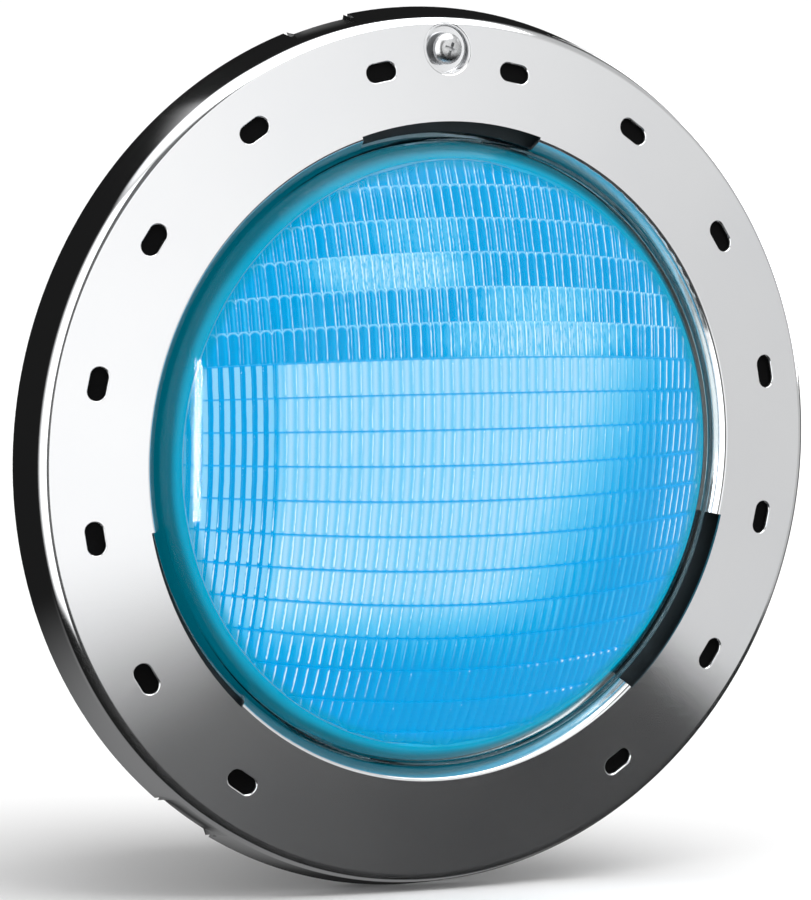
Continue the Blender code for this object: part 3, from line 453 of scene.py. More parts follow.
def polished_steel():
    material, tree, shader = finish("polished_steel", {"Specular IOR Level": 0.5})
    spot, (x, _, z) = tree.place()
    cloud = tree.noise(spot, 22.0, 2.0)
    fine = tree.noise(spot, 900.0, 3.0)
    scuff = tree.noise(tree.stretched(spot, (60.0, 60.0, 900.0), (0.3, 0.5, 0.8)), 1.0, 2.0)
    reach = off_axis(x, z) / MM
    front = 1.0 - reach.rises(127.5, 131.0)
    turn = x.math("ARCTAN2", z)
    on_collar = 1.0 - reach.rises(97.9, 98.3)
    ripples = (turn * COLLAR_RIPPLES + tree.noise(spot, 40.0) * 6.0).math("SINE")
    ripples = ripples * turn.bump_at(0.85, 0.75) * on_collar * 1.3
    tree.fill(shader, {
        "Base Color": tree.blend(cloud, (0.84, 0.85, 0.87), (0.90, 0.905, 0.91)),
        "Metallic": 1.0 - front * (0.045 + cloud * 0.02),
        "Roughness": 0.075 + cloud * 0.03 + scuff.rises(0.55, 0.8) * 0.03,
        "Normal": bumped(tree, cloud * 0.6 + fine * 0.02 + ripples, 0.012),
    })
    return material


def grained_steel(name, low, high, stretch, rough, draw_lines=False):
    material, tree, shader = finish(name, {"Metallic": 1.0})
    spot, _ = tree.place()
    grain = tree.noise(tree.stretched(spot, stretch), 1.0, 4.0, 0.6)
    cloud = tree.noise(spot, 18.0, 3.0)
    lines = grain
    if draw_lines:
        rings = tree.noise(tree.stretched(spot, (4.0, 900.0, 4.0)), 1.0, 2.0)
        lines = grain * 0.6 + rings * 0.4
    tree.fill(shader, {
        "Base Color": tree.blend((cloud * 0.5 + grain * 0.5).rises(0.3, 0.7), low, high),
        "Roughness": rough + lines * 0.14 + cloud.rises(0.5, 0.75) * 0.08,
        "Normal": bumped(tree, lines, 0.03),
    })
    return material


steel_mirror = polished_steel()
steel_plain = grained_steel("plain_steel", (0.60, 0.61, 0.62), (0.78, 0.785, 0.79),
                            (1400.0, 120.0, 1400.0), 0.2)
steel_drawn = grained_steel("drawn_steel", (0.56, 0.57, 0.59), (0.72, 0.73, 0.74),
                            (90.0, 700.0, 90.0), 0.24, True)
print("three steels")

# %% [markdown]
# ## The face ring
#
# The ring is one stamping from 1 mm sheet. Its face slopes back as a shallow cone, a rounded corner
# turns it into the side wall, and the opening's edge turns in as three collars with gaps between
# them. Fourteen slots let water flow behind the ring, and a round cup at the top holds the screw.
# We spin the front skin and give it the sheet's thickness. Then we stamp the openings as the press
# does, with dies that are a little wider at the face so that the edges come out rounded.

# %% Sizes of the ring, in mm
RIM = 133.5
RIM_DEPTH = 16.6
RIM_CORNER = 4.7
FACE_OUTER = 130.6
SLOT_CIRCLE = 116.3
SLOPE = 0.19
OPENING = 99.0
FACE_INNER = OPENING - 0.35
COLLAR = 95.3
SHEET = 1.0


def face_depth(radius):
    """Depth of the ring's sloping face at this distance off the axis."""
    return -RIM_DEPTH + (radius - SLOT_CIRCLE) * SLOPE


# %% The ring's skin
skin = outline([
    (RIM, 0), (RIM - 0.22, -1.05), (FACE_OUTER, face_depth(FACE_OUTER), RIM_CORNER),
    (FACE_INNER, face_depth(FACE_INNER), 1.5), (COLLAR + 0.25, -RIM_DEPTH + 0.2, 1.2),
    (COLLAR, -RIM_DEPTH + 2.6)], steps=8)
spin(skin, 240)
bmesh.ops.solidify(skin, geom=skin.faces[:], thickness=SHEET * MM)
bmesh.ops.recalc_face_normals(skin, faces=skin.faces)
for vert in skin.verts:
    vert.co.y = min(vert.co.y, 0.0)
depths = [v.co.y / MM for v in skin.verts]
print("skin from", round(min(depths), 2), "to", round(max(depths), 2), "mm deep")

# %% Dies for the slots
SLOPE_TURN = Matrix.Rotation(-math.atan(SLOPE), 3, "X")


def stamping_die(length, width, levels):
    """A die along Y with a round-ended section. Levels are (depth, growth) pairs in mm."""
    bm = bmesh.new()
    bmesh.ops.create_circle(bm, cap_ends=True, segments=32, radius=width / 2 * MM)
    bmesh.ops.rotate(bm, matrix=Matrix.Rotation(math.pi / 32, 3, "Z"), verts=bm.verts)
    for vert in bm.verts:
        vert.co.x += math.copysign((length - width) / 2 * MM, vert.co.x) if length > width else 0
    bmesh.ops.rotate(bm, matrix=Matrix.Rotation(math.pi / 2, 3, "X"), verts=bm.verts)
    depth, growth = levels[0]
    grow = Vector(((length + 2 * growth) / length, 1, (width + 2 * growth) / width))
    bmesh.ops.scale(bm, vec=grow, verts=bm.verts)
    bmesh.ops.translate(bm, vec=(0, depth * MM, 0), verts=bm.verts)
    end = bm.faces[:]
    for next_depth, next_growth in levels[1:]:
        inner = end if len(bm.faces) > 1 else []
        extruded = bmesh.ops.extrude_face_region(bm, geom=end)["geom"]
        bmesh.ops.delete(bm, geom=inner, context="FACES_ONLY")
        end = [item for item in extruded if isinstance(item, bmesh.types.BMFace)]
        verts = [item for item in extruded if isinstance(item, bmesh.types.BMVert)]
        shrink = Vector(((length + 2 * next_growth) / (length + 2 * growth), 1,
                         (width + 2 * next_growth) / (width + 2 * growth)))
        bmesh.ops.scale(bm, vec=shrink, verts=verts)
        bmesh.ops.translate(bm, vec=(0, (next_depth - depth) * MM, 0), verts=verts)
        depth, growth = next_depth, next_growth
    bmesh.ops.recalc_face_normals(bm, faces=bm.faces)
    return bm


SLOTS = 14
SLOT_STEP = 22.5
SLOT_LENGTH, SLOT_WIDTH = 9.9, 5.55
ROUNDED_EDGE = [(-1.0, 0.45), (0.0, 0.40), (0.12, 0.17), (0.40, 0.0), (3.5, 0.0)]
slot_dies = []
for number in range(SLOTS):
    turn = clock(SLOT_STEP * (number - (SLOTS - 1) / 2))
    spot = turn @ Vector((0, face_depth(SLOT_CIRCLE), SLOT_CIRCLE))
    die = stamping_die(SLOT_LENGTH, SLOT_WIDTH, ROUNDED_EDGE)
    slot_dies.append(move(die, spot, turn @ SLOPE_TURN))
print(len(slot_dies), "slots")


# %% [markdown]
# The collar's three gaps are cut right through the face's inner edge. At the rear of the side wall
# a pair of relief cuts frees each of the three tabs, so that they can be bent in afterwards.

# %% Dies for the gaps and the tabs
def block(size_mm, spot_mm, turn=None):
    bm = bmesh.new()
    bmesh.ops.create_cube(bm, size=MM)
    bmesh.ops.scale(bm, vec=size_mm, verts=bm.verts)
    return move(bm, spot_mm, turn)


def wedge(inner, outer, front, rear, middle_deg, spread_deg):
    """A block that fills part of a ring, spun from its section."""
    bm = outline([(inner, front), (outer, front), (outer, rear), (inner, rear)], closed=True)
    bmesh.ops.contextual_create(bm, geom=bm.edges[:])
    bmesh.ops.rotate(bm, matrix=clock(middle_deg - spread_deg / 2 - 90), verts=bm.verts)
    section = bm.verts[:] + bm.edges[:] + bm.faces[:]
    bmesh.ops.spin(bm, geom=section, cent=(0, 0, 0), axis=(0, 1, 0),
                   angle=math.radians(spread_deg), steps=24)
    bmesh.ops.recalc_face_normals(bm, faces=bm.faces)
    return bm


GAPS = (0, 120, 240)
GAP_SPREAD = 35.5
GAP_INNER, GAP_OUTER = 92.0, 99.7
GAP_FRONT, GAP_REAR = -26.0, -9.0
gap_dies = [wedge(GAP_INNER, GAP_OUTER, GAP_FRONT, GAP_REAR, middle, GAP_SPREAD)
            for middle in GAPS]
TABS = (100.0, 215.0, 344.0)
TAB_HALF = 4.5
TAB_LENGTH = 4.5
relief_dies = []
for turn in [clock(middle + side * TAB_HALF) for middle in TABS for side in (-1, 1)]:
    spot = turn @ Vector((0, 0, RIM - 1.0))
    relief_dies.append(block((1.2, 2 * TAB_LENGTH, 6.0), spot, turn))
print(len(gap_dies), "collar gaps and", len(relief_dies), "relief cuts")

# %% [markdown]
# The cup is pressed down from the face. It is spun on its own, cut off along the face's slope, and
# joined to the ring after two more dies have opened the sheet and rounded the mouth.

# %% The screw's cup
SCREW_HEIGHT = 121.2
CUP = 7.4
CUP_HOLE = 3.3
CUP_TOP = -19.0
CUP_INSIDE, CUP_OUTSIDE = CUP - 0.2, CUP + 0.8
CUP_FLOOR = -RIM_DEPTH + 3.2
cup = outline([
    (CUP_HOLE, CUP_FLOOR), (CUP_INSIDE, CUP_FLOOR, 0.5), (CUP_INSIDE, CUP_TOP),
    (CUP_OUTSIDE, CUP_TOP), (CUP_OUTSIDE, CUP_FLOOR + SHEET, 1.0),
    (CUP_HOLE, CUP_FLOOR + SHEET)], closed=True, steps=3)
spin(cup, 64)
move(cup, (0, 0, SCREW_HEIGHT))
lean = Vector((0, 1, -SLOPE)).normalized()
under_face = Vector((0, face_depth(SCREW_HEIGHT) + 0.3, SCREW_HEIGHT)) * MM
bmesh.ops.bisect_plane(cup, geom=cup.verts[:] + cup.edges[:] + cup.faces[:],
                       plane_co=under_face, plane_no=-lean, clear_outer=True)
rims = [edge for edge in cup.edges if edge.is_boundary]
bmesh.ops.bridge_loops(cup, edges=rims)
bmesh.ops.recalc_face_normals(cup, faces=cup.faces)
cup_levels = [(-3.0, 1.0), (0.0, 0.95), (0.25, 0.45), (0.6, 0.12), (1.1, 0.0), (1.4, 0.0)]
cup_mouth = stamping_die(2 * CUP, 2 * CUP, cup_levels)
move(cup_mouth, (0, face_depth(SCREW_HEIGHT), SCREW_HEIGHT), SLOPE_TURN)
cup_bore = stamping_die(2 * CUP - 0.3, 2 * CUP - 0.3, [(-4.0, 0), (4.6, 0)])
move(cup_bore, (0, -RIM_DEPTH, SCREW_HEIGHT))
print("cup floor at", round(CUP_FLOOR, 2), "mm")

# %% The stamped ring
ring = combine(
    skin,
    ("DIFFERENCE", together(gap_dies)),
    ("DIFFERENCE", together(slot_dies + relief_dies)),
    ("DIFFERENCE", cup_bore),
    ("DIFFERENCE", cup_mouth),
    ("UNION", cup))
TAB_LEAN = 0.0022
ON_TAB = 4.1
ON_SIDE_WALL = 125.0
for vert in ring.verts:
    angle = math.degrees(math.atan2(vert.co.x, vert.co.z)) % 360
    near = min(abs(angle - tab) for tab in TABS)
    depth = vert.co.y / MM + TAB_LENGTH
    if near < ON_TAB and depth > 0 and vert.co.xz.length > ON_SIDE_WALL * MM:
        vert.co.xz *= 1 - TAB_LEAN * depth
face_ring = piece("face_ring_polished", ring, steel_mirror, ("face_ring",))

# %% [markdown]
# A mirror shows the smallest fault in its shading. Long faces beside the slots would bend the
# reflections, so every corner on the cone is given the cone's own normal, and the rest keep theirs.

# %% True normals on the cone
ON_FACE = 0.06


def true_cone(mesh):
    lean_angle = math.atan(SLOPE)
    normals = [Vector((0, 0, 0))] * len(mesh.loops)
    for face in mesh.polygons:
        for corner in face.loop_indices:
            spot = mesh.vertices[mesh.loops[corner].vertex_index].co
            outward = Vector((spot.x, 0, spot.z)).normalized() * math.sin(lean_angle)
            cone = outward - Vector((0, math.cos(lean_angle), 0))
            off_face = abs(spot.y / MM - face_depth(spot.xz.length / MM))
            if off_face < ON_FACE and face.normal.dot(cone) > 0.8:
                normals[corner] = cone
    mesh.normals_split_custom_set(normals)
    return sum(1 for normal in normals if normal.length)


print(true_cone(face_ring.data), "corners straightened")

# %% [markdown]
# ## The lens
#
# The lens is one glass moulding. Its outside is a smooth dome with a rounded shoulder, and its
# inside carries the prisms: eighteen level rows, each tilted like a louvre slat, and each ribbed
# with upright flutes. Light from the lamp fills the prisms, so here the glass is made in three
# layers: a clear outer shell, the lit prism face behind it, and the lit core of the shoulder. The
# prism face and the core are no lamps: their glow is painted light.

# %% Sizes of the lens, in mm
DOME = 185.0
DOME_RISE = 28.5
DOME_CENTRE = -RIM_DEPTH - DOME_RISE + DOME
SHOULDER = 94.8
SHOULDER_INSIDE = 93.5
FLANGE = 105.0
GASKET_LIP = 3.0
FLANGE_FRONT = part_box("lens_gasket")[0].y / MM + GASKET_LIP
FLANGE_REAR = FLANGE_FRONT + 6.0
PRISM_EDGE = 88.2
COVER = 1.6


def dome(radius, first, last, steps):
    """Points on a sphere about the dome's centre, from one distance off the axis to another."""
    turns = np.linspace(math.asin(first / radius), math.asin(last / radius), steps + 1)
    return [(radius * math.sin(t), DOME_CENTRE - radius * math.cos(t)) for t in turns]


shell = outline(
    dome(DOME, 0.0, 91.0, 22)
    + [(SHOULDER, -19.0, 2.6), (SHOULDER, FLANGE_FRONT), (FLANGE, FLANGE_FRONT, 0.6),
       (FLANGE, FLANGE_REAR, 0.6), (SHOULDER_INSIDE, FLANGE_REAR), (SHOULDER_INSIDE, -16.4, 1.0),
       (92.4, -18.05), (89.2, -20.9, 0.4)]
    + dome(DOME - COVER, PRISM_EDGE + 0.4, 0.0, 22), steps=5)
spin(shell, 160)
print("dome stands", DOME_RISE, "mm proud of the slots")

# %% [markdown]
# The prism face starts as a flat grid that is wrapped onto the dome. Four lines of points make one
# row, and each line stands a little further out than the one below it, so that the row leans out
# and steps back to the next. Six columns make one flute, which is a shallow arch across. Rows are
# counted up from the middle. The finished skin is then thickened towards the back.

# %% Sizes of the prisms, in mm and degrees
ROW = 3.338
ROW_START = -0.40
FLUTE = 1.015
FIRST_ROW, LAST_ROW = -9, 8
ROW_LINES = (0.0, 0.34, 0.68, 1.0)
ROW_LEAN = 0.75
RIB_RISE = 0.42
RIBS_PER_SIDE = 29
RIB_STEPS = 6
PRISM_FRONT = DOME - COVER - 0.15
PRISM_BACK = PRISM_FRONT - 2.5


def edge_turn(rise):
    """Half-width of the prism face, as an angle, at this angle above the middle."""
    share = (PRISM_EDGE / PRISM_FRONT) ** 2 - math.sin(rise) ** 2
    return math.asin(min(1.0, math.sqrt(max(share, 0.0)) / math.cos(rise)))


print("one prism is", ROW, "degrees high and", FLUTE, "wide")

# %% Prism face
prisms = bmesh.new()
rows = LAST_ROW - FIRST_ROW + 1
across = 2 * RIBS_PER_SIDE * RIB_STEPS
upward = rows * len(ROW_LINES) - 1
bmesh.ops.create_grid(prisms, x_segments=across, y_segments=upward, size=0.5)
top_rise = math.asin(PRISM_EDGE / PRISM_FRONT) - 1e-4
for vert in prisms.verts:
    column = (vert.co.x + 0.5) * across
    line = round((vert.co.y + 0.5) * upward)
    row, part = divmod(line, len(ROW_LINES))
    rise = math.radians(ROW_START + ROW * (FIRST_ROW + row + ROW_LINES[part]))
    rise = max(-top_rise, min(top_rise, rise))
    limit = edge_turn(rise)
    turn = math.radians(FLUTE * (column / RIB_STEPS - RIBS_PER_SIDE))
    turn = max(-limit, min(limit, turn))
    rib = RIB_RISE * abs(math.sin(math.pi * column / RIB_STEPS)) ** 0.8
    radius = (PRISM_FRONT - RIB_RISE - ROW_LEAN + ROW_LEAN * ROW_LINES[part] + rib) * MM
    vert.co = Vector((
        radius * math.sin(turn),
        DOME_CENTRE * MM - radius * math.cos(turn) * math.cos(rise),
        radius * math.cos(turn) * math.sin(rise)))
bmesh.ops.remove_doubles(prisms, verts=prisms.verts, dist=1e-5)
bmesh.ops.dissolve_degenerate(prisms, edges=prisms.edges, dist=1e-5)
backs = bmesh.ops.extrude_face_region(prisms, geom=prisms.faces[:], use_keep_orig=True)["geom"]
middle = Vector((0, DOME_CENTRE * MM, 0))
for item in backs:
    if isinstance(item, bmesh.types.BMVert):
        item.co = middle + (item.co - middle).normalized() * PRISM_BACK * MM
tidy(prisms)
# So thin and ribbed a shell can be turned the wrong way as a whole, which its volume shows.
if prisms.calc_volume(signed=True) < 0:
    bmesh.ops.reverse_faces(prisms, faces=prisms.faces)
print(rows, "rows of prisms,", len(prisms.faces), "faces")

# %% Core of the shoulder
CORE = SHOULDER_INSIDE - 0.4
core = outline([(88.4, -20.6), (89.2, -19.8, 0.3), (92.2, -17.7, 0.6), (CORE, -16.1, 0.4),
                (CORE, FLANGE_REAR), (89.5, FLANGE_REAR), (88.4, -17.0)], closed=True, steps=4)
spin(core, 160)
print("core out to", round(CORE, 2), "mm")

# %% [markdown]
# The light in the prisms is what one sees, so their finish glows: all of its pattern is painted
# light. It follows the moulding: the same row and flute angles that shaped the mesh give each point
# its place within its prism. Painted pale pools lie where the lamp shines straight through, and
# thin white lines of painted highlight run down the flutes' edges, broken into painted sparkles
# where the glass is uneven.

# %% Pools of light in the upper rows
# From this row up the prisms are painted brighter, with pools of light and white highlight lines.
BRIGHT_ROWS_FROM = ROW_START + 3 * ROW
# For each row from there up: the pool's centre and half-size in mm, and how strong it is.
POOLS = [((22.0, 36.0), (46.0, 12.0), 1.0), ((22.0, 46.0), (30.0, 12.0), 0.8),
         ((-26.0, 56.0), (34.0, 12.0), 1.0), ((-16.0, 67.0), (24.0, 9.0), 0.5)]


def between(value, low, high):
    """1 from low to high, and 0 outside."""
    return value.rises(low - 0.1, low + 0.1) * (1.0 - value.rises(high - 0.1, high + 0.1))


def upper_pools(rise, across_mm, up_mm):
    pools = []
    for number, (centre, size, level) in enumerate(POOLS):
        sideways, upwards = (across_mm - centre[0]) / size[0], (up_mm - centre[1]) / size[1]
        away = sideways * sideways + upwards * upwards
        low = BRIGHT_ROWS_FROM + number * ROW
        pools.append((1.0 - away.rises(0.0, 1.0)) * between(rise, low, low + ROW) * level)
    brightest, *others = pools
    for other in others:
        brightest = brightest.math("MAXIMUM", other)
    return brightest


print(len(POOLS), "pools of light")

# %% Finish of the prisms
def lit_prisms():
    material, tree, shader = finish("lit_prisms", {
        "Base Color": (0.0, 0.06, 0.12), "Roughness": 0.2, "Specular IOR Level": 0.07,
        "Emission Strength": 1.0})
    spot, (x, y, z) = tree.place()
    depth = DOME_CENTRE * MM - y
    rise = z.math("ARCTAN2", depth) * math.degrees(1.0)
    turn = x.math("ARCTAN2", (depth * depth + z * z).math("SQRT")) * math.degrees(1.0)
    wobble = tree.noise(spot, 260.0, 2.0) - 0.5
    rows_up = (rise - ROW_START) / ROW
    in_row = rows_up.math("FRACT")
    row = rows_up.math("FLOOR")
    in_flute = (turn / FLUTE + wobble * 0.10).math("FRACT")
    flute = (turn / FLUTE).math("FLOOR")
    across_mm, up_mm = x / MM, z / MM
    # One uneven number for each row, and one for each prism.
    row_spot = tree.add("ShaderNodeCombineXYZ", None, {0: row, 1: flute * 0.11, 2: 3.7})
    row_luck = tree.noise(row_spot, 0.9, 1.0)
    prism_spot = tree.add("ShaderNodeCombineXYZ", None, {0: row * 7.31, 1: flute * 3.17, 2: 0.5})
    luck = tree.add("ShaderNodeTexWhiteNoise", None, {"Vector": prism_spot})
    streaks = tree.noise(tree.stretched(spot, (2200.0, 2200.0, 130.0)), 1.0, 3.0, 0.6)
    grain = tree.noise(spot, 1900.0, 2.0)

    # Pale light: one broad field in the middle, and the pools above it.
    band = up_mm.rises(-66.0, -38.0)
    band = band * (1.0 - rise.rises(BRIGHT_ROWS_FROM - 0.2, BRIGHT_ROWS_FROM + 0.2))
    left_edge = across_mm.rises(-64.0, -61.0)
    right_fade = 1.0 - (across_mm - up_mm * 0.55).rises(20.0, 78.0)
    middle = band * left_edge * right_fade
    upper = upper_pools(rise, across_mm, up_mm)
    pale = (middle + upper * (0.5 + streaks.rises(0.3, 0.6) * 0.55)).clamped()

    # Painted light and shade across one flute: a pale face beside a deep one, and a painted dimming
    # lower down.
    beside = 1.0 - across_mm.rises(-66.0, -58.0)
    striped = in_flute.rises(0.34, 0.44) * (1.0 - in_flute.rises(0.90, 0.95))
    narrow = in_flute.bump_at(0.72, 0.30)
    uneven = 0.10 + row_luck * 0.35 + luck * 0.20
    share = beside * band * 0.85 * striped + (1.0 - beside * band) * narrow * uneven
    dim_below = 1.0 - (1.0 - up_mm.rises(-80.0, -42.0)) * 0.55
    ripple = 0.72 + in_flute.bump_at(0.40, 0.42) * 0.28
    tone = (pale * ripple + (1.0 - pale) * share * dim_below).clamped()
    deep_blue = tree.blend(up_mm.rises(-70.0, 60.0), (0.0, 0.285, 0.64), (0.0, 0.30, 0.64))
    # From here on, body holds the colour of the painted glow.
    body = tree.add("ShaderNodeValToRGB", {"stops": [
        (0.0, (0.0, 0.30, 0.65)), (0.3, (0.0, 0.35, 0.70)), (0.65, (0.12, 0.52, 0.80)),
        (1.0, (0.45, 0.70, 0.88))]}, {0: tone})
    body = tree.blend(tone.rises(0.0, 0.2), deep_blue, body)

    # Painted highlights: white lines on the flutes' edges, and painted sparkles.
    bright_rows = rise.rises(BRIGHT_ROWS_FROM - 0.1, BRIGHT_ROWS_FROM + 0.4)
    right_rim = across_mm.rises(62.0, 76.0) * (up_mm + 20.0).rises(-30.0, 5.0)
    above = rise.rises(BRIGHT_ROWS_FROM - 0.1, BRIGHT_ROWS_FROM + 0.3)
    above = above * (0.25 + across_mm.rises(-74.0, -30.0) * 0.5)
    low_left = (1.0 - up_mm.rises(-34.0, -8.0)) * (1.0 - across_mm.rises(-52.0, -14.0))
    amount = 0.04 + pale * 0.55 + above + low_left * 1.5
    amount = (amount + right_rim * 0.9) * (0.55 + row_luck * 0.9) * up_mm.rises(-82.0, -60.0)
    main_line = in_flute.bump_at(0.05, 0.07) * 1.25 + in_flute.bump_at(0.955, 0.04) * 0.5
    second_line = in_flute.bump_at(0.34, 0.055) * luck.rises(0.35, 0.7) * 0.8 * bright_rows
    dashes = in_row.rises(0.04, 0.12) * (1.0 - in_row.rises(0.86, 0.97)) * (1.0 - bright_rows * 0.5)
    lines = main_line * dashes.math("MAXIMUM", bright_rows) + second_line
    lines = lines * amount * (0.45 + streaks.rises(0.32, 0.62) * 0.9)
    sparkle = grain.rises(0.60, 0.68) * in_flute.bump_at(0.04, 0.12) * in_row.rises(0.5, 0.97)
    lines = (lines + sparkle * luck.rises(0.3, 0.8) * 0.9).clamped()
    body = tree.blend(lines, body, tree.blend(lines, (0.45, 0.83, 0.96), (0.88, 0.97, 1.0)))

    # Painted lines of light between the rows: deep blue low down, bright white above.
    arch = (in_flute - 0.5) * (in_flute - 0.5) * 0.42 * bright_rows
    seam = (1.0 - in_row - arch).math("ABSOLUTE").bump_at(0.0, 0.07) + in_row.bump_at(0.0, 0.03)
    seam_colour = tree.blend(bright_rows, (0.0, 0.33, 0.73), (0.36, 0.72, 0.93))
    body = tree.blend((seam * (0.95 - bright_rows * 0.25)).clamped(), body, seam_colour)
    # Painted glints: white dots at the top of the rows, mid-flute, low on the right.
    glint_dots = (1.0 - in_row).bump_at(0.03, 0.07) * in_flute.bump_at(0.5, 0.22)
    glint_dots = glint_dots * across_mm.rises(14.0, 42.0) * (1.0 - up_mm.rises(-62.0, -52.0))
    body = tree.blend((glint_dots * luck.rises(0.15, 0.5)).clamped(), body, (0.95, 0.98, 1.0))

    # The painted glow is shaded darker towards the glass's rim.
    reach = off_axis(x, z) / MM
    body = tree.blend(reach.rises(84.8, 87.2) * 0.7, body, (0.0, 0.27, 0.45))
    tree.fill(shader, {
        "Emission Color": body,
        "Normal": bumped(tree, streaks + grain * 0.3, 0.05),
    })
    return material


def lit_core():
    material, tree, shader = finish("lit_core", {
        "Base Color": (0.0, 0.03, 0.045), "Specular IOR Level": 0.1, "Emission Strength": 1.0})
    spot, (x, _, z) = tree.place()
    reach = off_axis(x, z) / MM
    uneven = tree.noise(tree.stretched(spot, (30.0, 400.0, 30.0)), 1.0, 3.0)
    # Painted light: the core glows teal, fading darker outwards.
    out = (reach + uneven * 1.0).rises(89.6, 92.4)
    glow_colour = tree.blend(out, (0.0, 0.33, 0.53), (0.0, 0.10, 0.145))
    tree.fill(shader, {"Emission Color": glow_colour, "Roughness": 0.2 + uneven * 0.1})
    return material


def clear_glass():
    material, tree, shader = finish("clear_glass", {
        "Base Color": (0.88, 0.985, 1.0), "Transmission Weight": 1.0, "IOR": 1.16})
    spot, _ = tree.place()
    wave = tree.noise(spot, 30.0, 2.0)
    tree.fill(shader, {
        "Roughness": 0.004 + tree.noise(spot, 300.0).rises(0.6, 0.8) * 0.012,
        "Normal": bumped(tree, wave, 0.02)})
    return material


glass_shell = piece("lens_shell", shell, clear_glass(), ("lens",))
piece("lens_prisms", prisms, lit_prisms(), ("lens",), sharp_deg=20.0)
piece("lens_core", core, lit_core(), ("lens",))

# %% [markdown]
# A tall, narrow lamp draws the white streak down the left edge of the dome. It is linked to the
# glass alone, so that it leaves no line on the steel.

# %% Streak on the glass
streak = panel("streak_strip", 120.0, (0.060, 1.35), -30.0, -1.0, 2.4)
glass_only = bpy.data.collections.new("glass_only")
glass_only.objects.link(glass_shell)
streak.light_linking.receiver_collection = glass_only

# %% [markdown]
# ## The screw in the ring
#
# The screw's head is a low dome with a cross recess. Its shank carries a coarse thread, which is
# one small tooth swept up the shank as a helix.

# %% Pilot screw
HEAD_REAR = CUP_FLOOR - 1.5
HEAD_RADIUS = 4.75
HEAD_TOP = HEAD_REAR - 3.0
SHANK = 2.4
THREAD_CORE = 2.05
PITCH = 0.8
SHANK_END = HEAD_REAR + 38.0
head = outline([
    (0, HEAD_TOP), (1.6, HEAD_TOP + 0.06), (3.4, HEAD_TOP + 0.55, 2.5),
    (HEAD_RADIUS - 0.12, HEAD_REAR - 1.15, 0.7), (HEAD_RADIUS, HEAD_REAR, 0.25),
    (SHANK, HEAD_REAR, 0.3), (THREAD_CORE, HEAD_REAR + 3.0), (THREAD_CORE, SHANK_END - 2.0),
    (1.1, SHANK_END), (0, SHANK_END)], steps=5)
spin(head, 56)


def recess_blade(turn_deg, span=5.0, width=1.05, depth=2.1):
    """One tapered blade of the driver's cross."""
    front = HEAD_TOP - 0.5
    blade = block((span, depth, width), (0, front + depth / 2, 0))
    for vert in blade.verts:
        if vert.co.y > (front + depth / 2) * MM:
            vert.co.x *= 0.45
            vert.co.z *= 0.6
    return move(blade, (0, 0, 0), clock(turn_deg))


def thread(radius, root, pitch, start, end, steps=20):
    """A helical tooth, sunk a little into the shank so that the two join."""
    root -= 0.05
    section = [(root, -pitch * 0.38), (radius, -pitch * 0.08), (radius, pitch * 0.08),
               (root, pitch * 0.38)]
    bm = bmesh.new()
    corners = [bm.verts.new(Vector((x, y + start, 0)) * MM) for x, y in section]
    bm.faces.new(corners)
    turns = (end - start) / pitch
    total = int(turns * steps)
    bmesh.ops.spin(bm, geom=bm.verts[:] + bm.edges[:] + bm.faces[:], cent=(0, 0, 0),
                   axis=(0, 1, 0), dvec=(0, (end - start) / total * MM, 0),
                   angle=2 * math.pi * turns, steps=total)
    bmesh.ops.recalc_face_normals(bm, faces=bm.faces)
    return bm


screw = combine(
    head,
    ("DIFFERENCE", recess_blade(20.0)), ("DIFFERENCE", recess_blade(110.0)),
    ("UNION", thread(SHANK, THREAD_CORE, PITCH, HEAD_REAR + 10.0, SHANK_END - 2.6)))
move(screw, (0, 0, SCREW_HEIGHT))
piece("pilot_screw_turned", screw, steel_plain, ("pilot_screw",), "pilot_screw")

# %% [markdown]
# ## Rubber
#
# The moulded rubber has softened edges, a fine matt grain and a little chalky bloom.

# %% Rubber finish and the moulded gasket
def rubber_finish(name, low, high, gloss):
    material, tree, shader = finish(name, {"Specular IOR Level": gloss})
    spot, _ = tree.place()
    grain = tree.noise(spot, 1600.0, 3.0, 0.6)
    bloom = tree.noise(spot, 45.0, 4.0, 0.6).rises(0.48, 0.75)
    tree.fill(shader, {
        "Base Color": tree.blend(bloom * 0.8, low, high),
        "Roughness": 0.55 + grain * 0.15 + bloom * 0.12,
        "Normal": bumped(tree, grain, 0.05)})
    return material


rubber = rubber_finish("black_rubber", (0.016, 0.024, 0.028), (0.045, 0.058, 0.066), 0.35)
FIT = 0.3
GASKET_WALL = 2.3
GASKET_OUTER = FLANGE + FIT + GASKET_WALL
GASKET_FRONT, GASKET_REAR = FLANGE_FRONT - GASKET_LIP, FLANGE_REAR + GASKET_LIP
FRONT_LIP, REAR_LIP = GASKET_OUTER - 11.5, GASKET_OUTER - 10.3
gasket = outline([
    (FRONT_LIP, GASKET_FRONT, 0.5), (GASKET_OUTER, GASKET_FRONT, 0.9),
    (GASKET_OUTER, GASKET_REAR, 0.9), (REAR_LIP, GASKET_REAR, 0.5),
    (REAR_LIP, FLANGE_REAR + FIT, 0.4), (FLANGE + FIT, FLANGE_REAR + FIT),
    (FLANGE + FIT, FLANGE_FRONT - FIT), (FRONT_LIP, FLANGE_FRONT - FIT, 0.4)],
    closed=True, steps=4)
piece("gasket_moulded", spin(gasket, 160), rubber, ("lens_gasket",))

# %% [markdown]
# ## The housing
#
# The housing is drawn from flat sheet into a bowl. Drawing leaves faint rings, and pressing adds
# a shallow stiffening bead round the back.

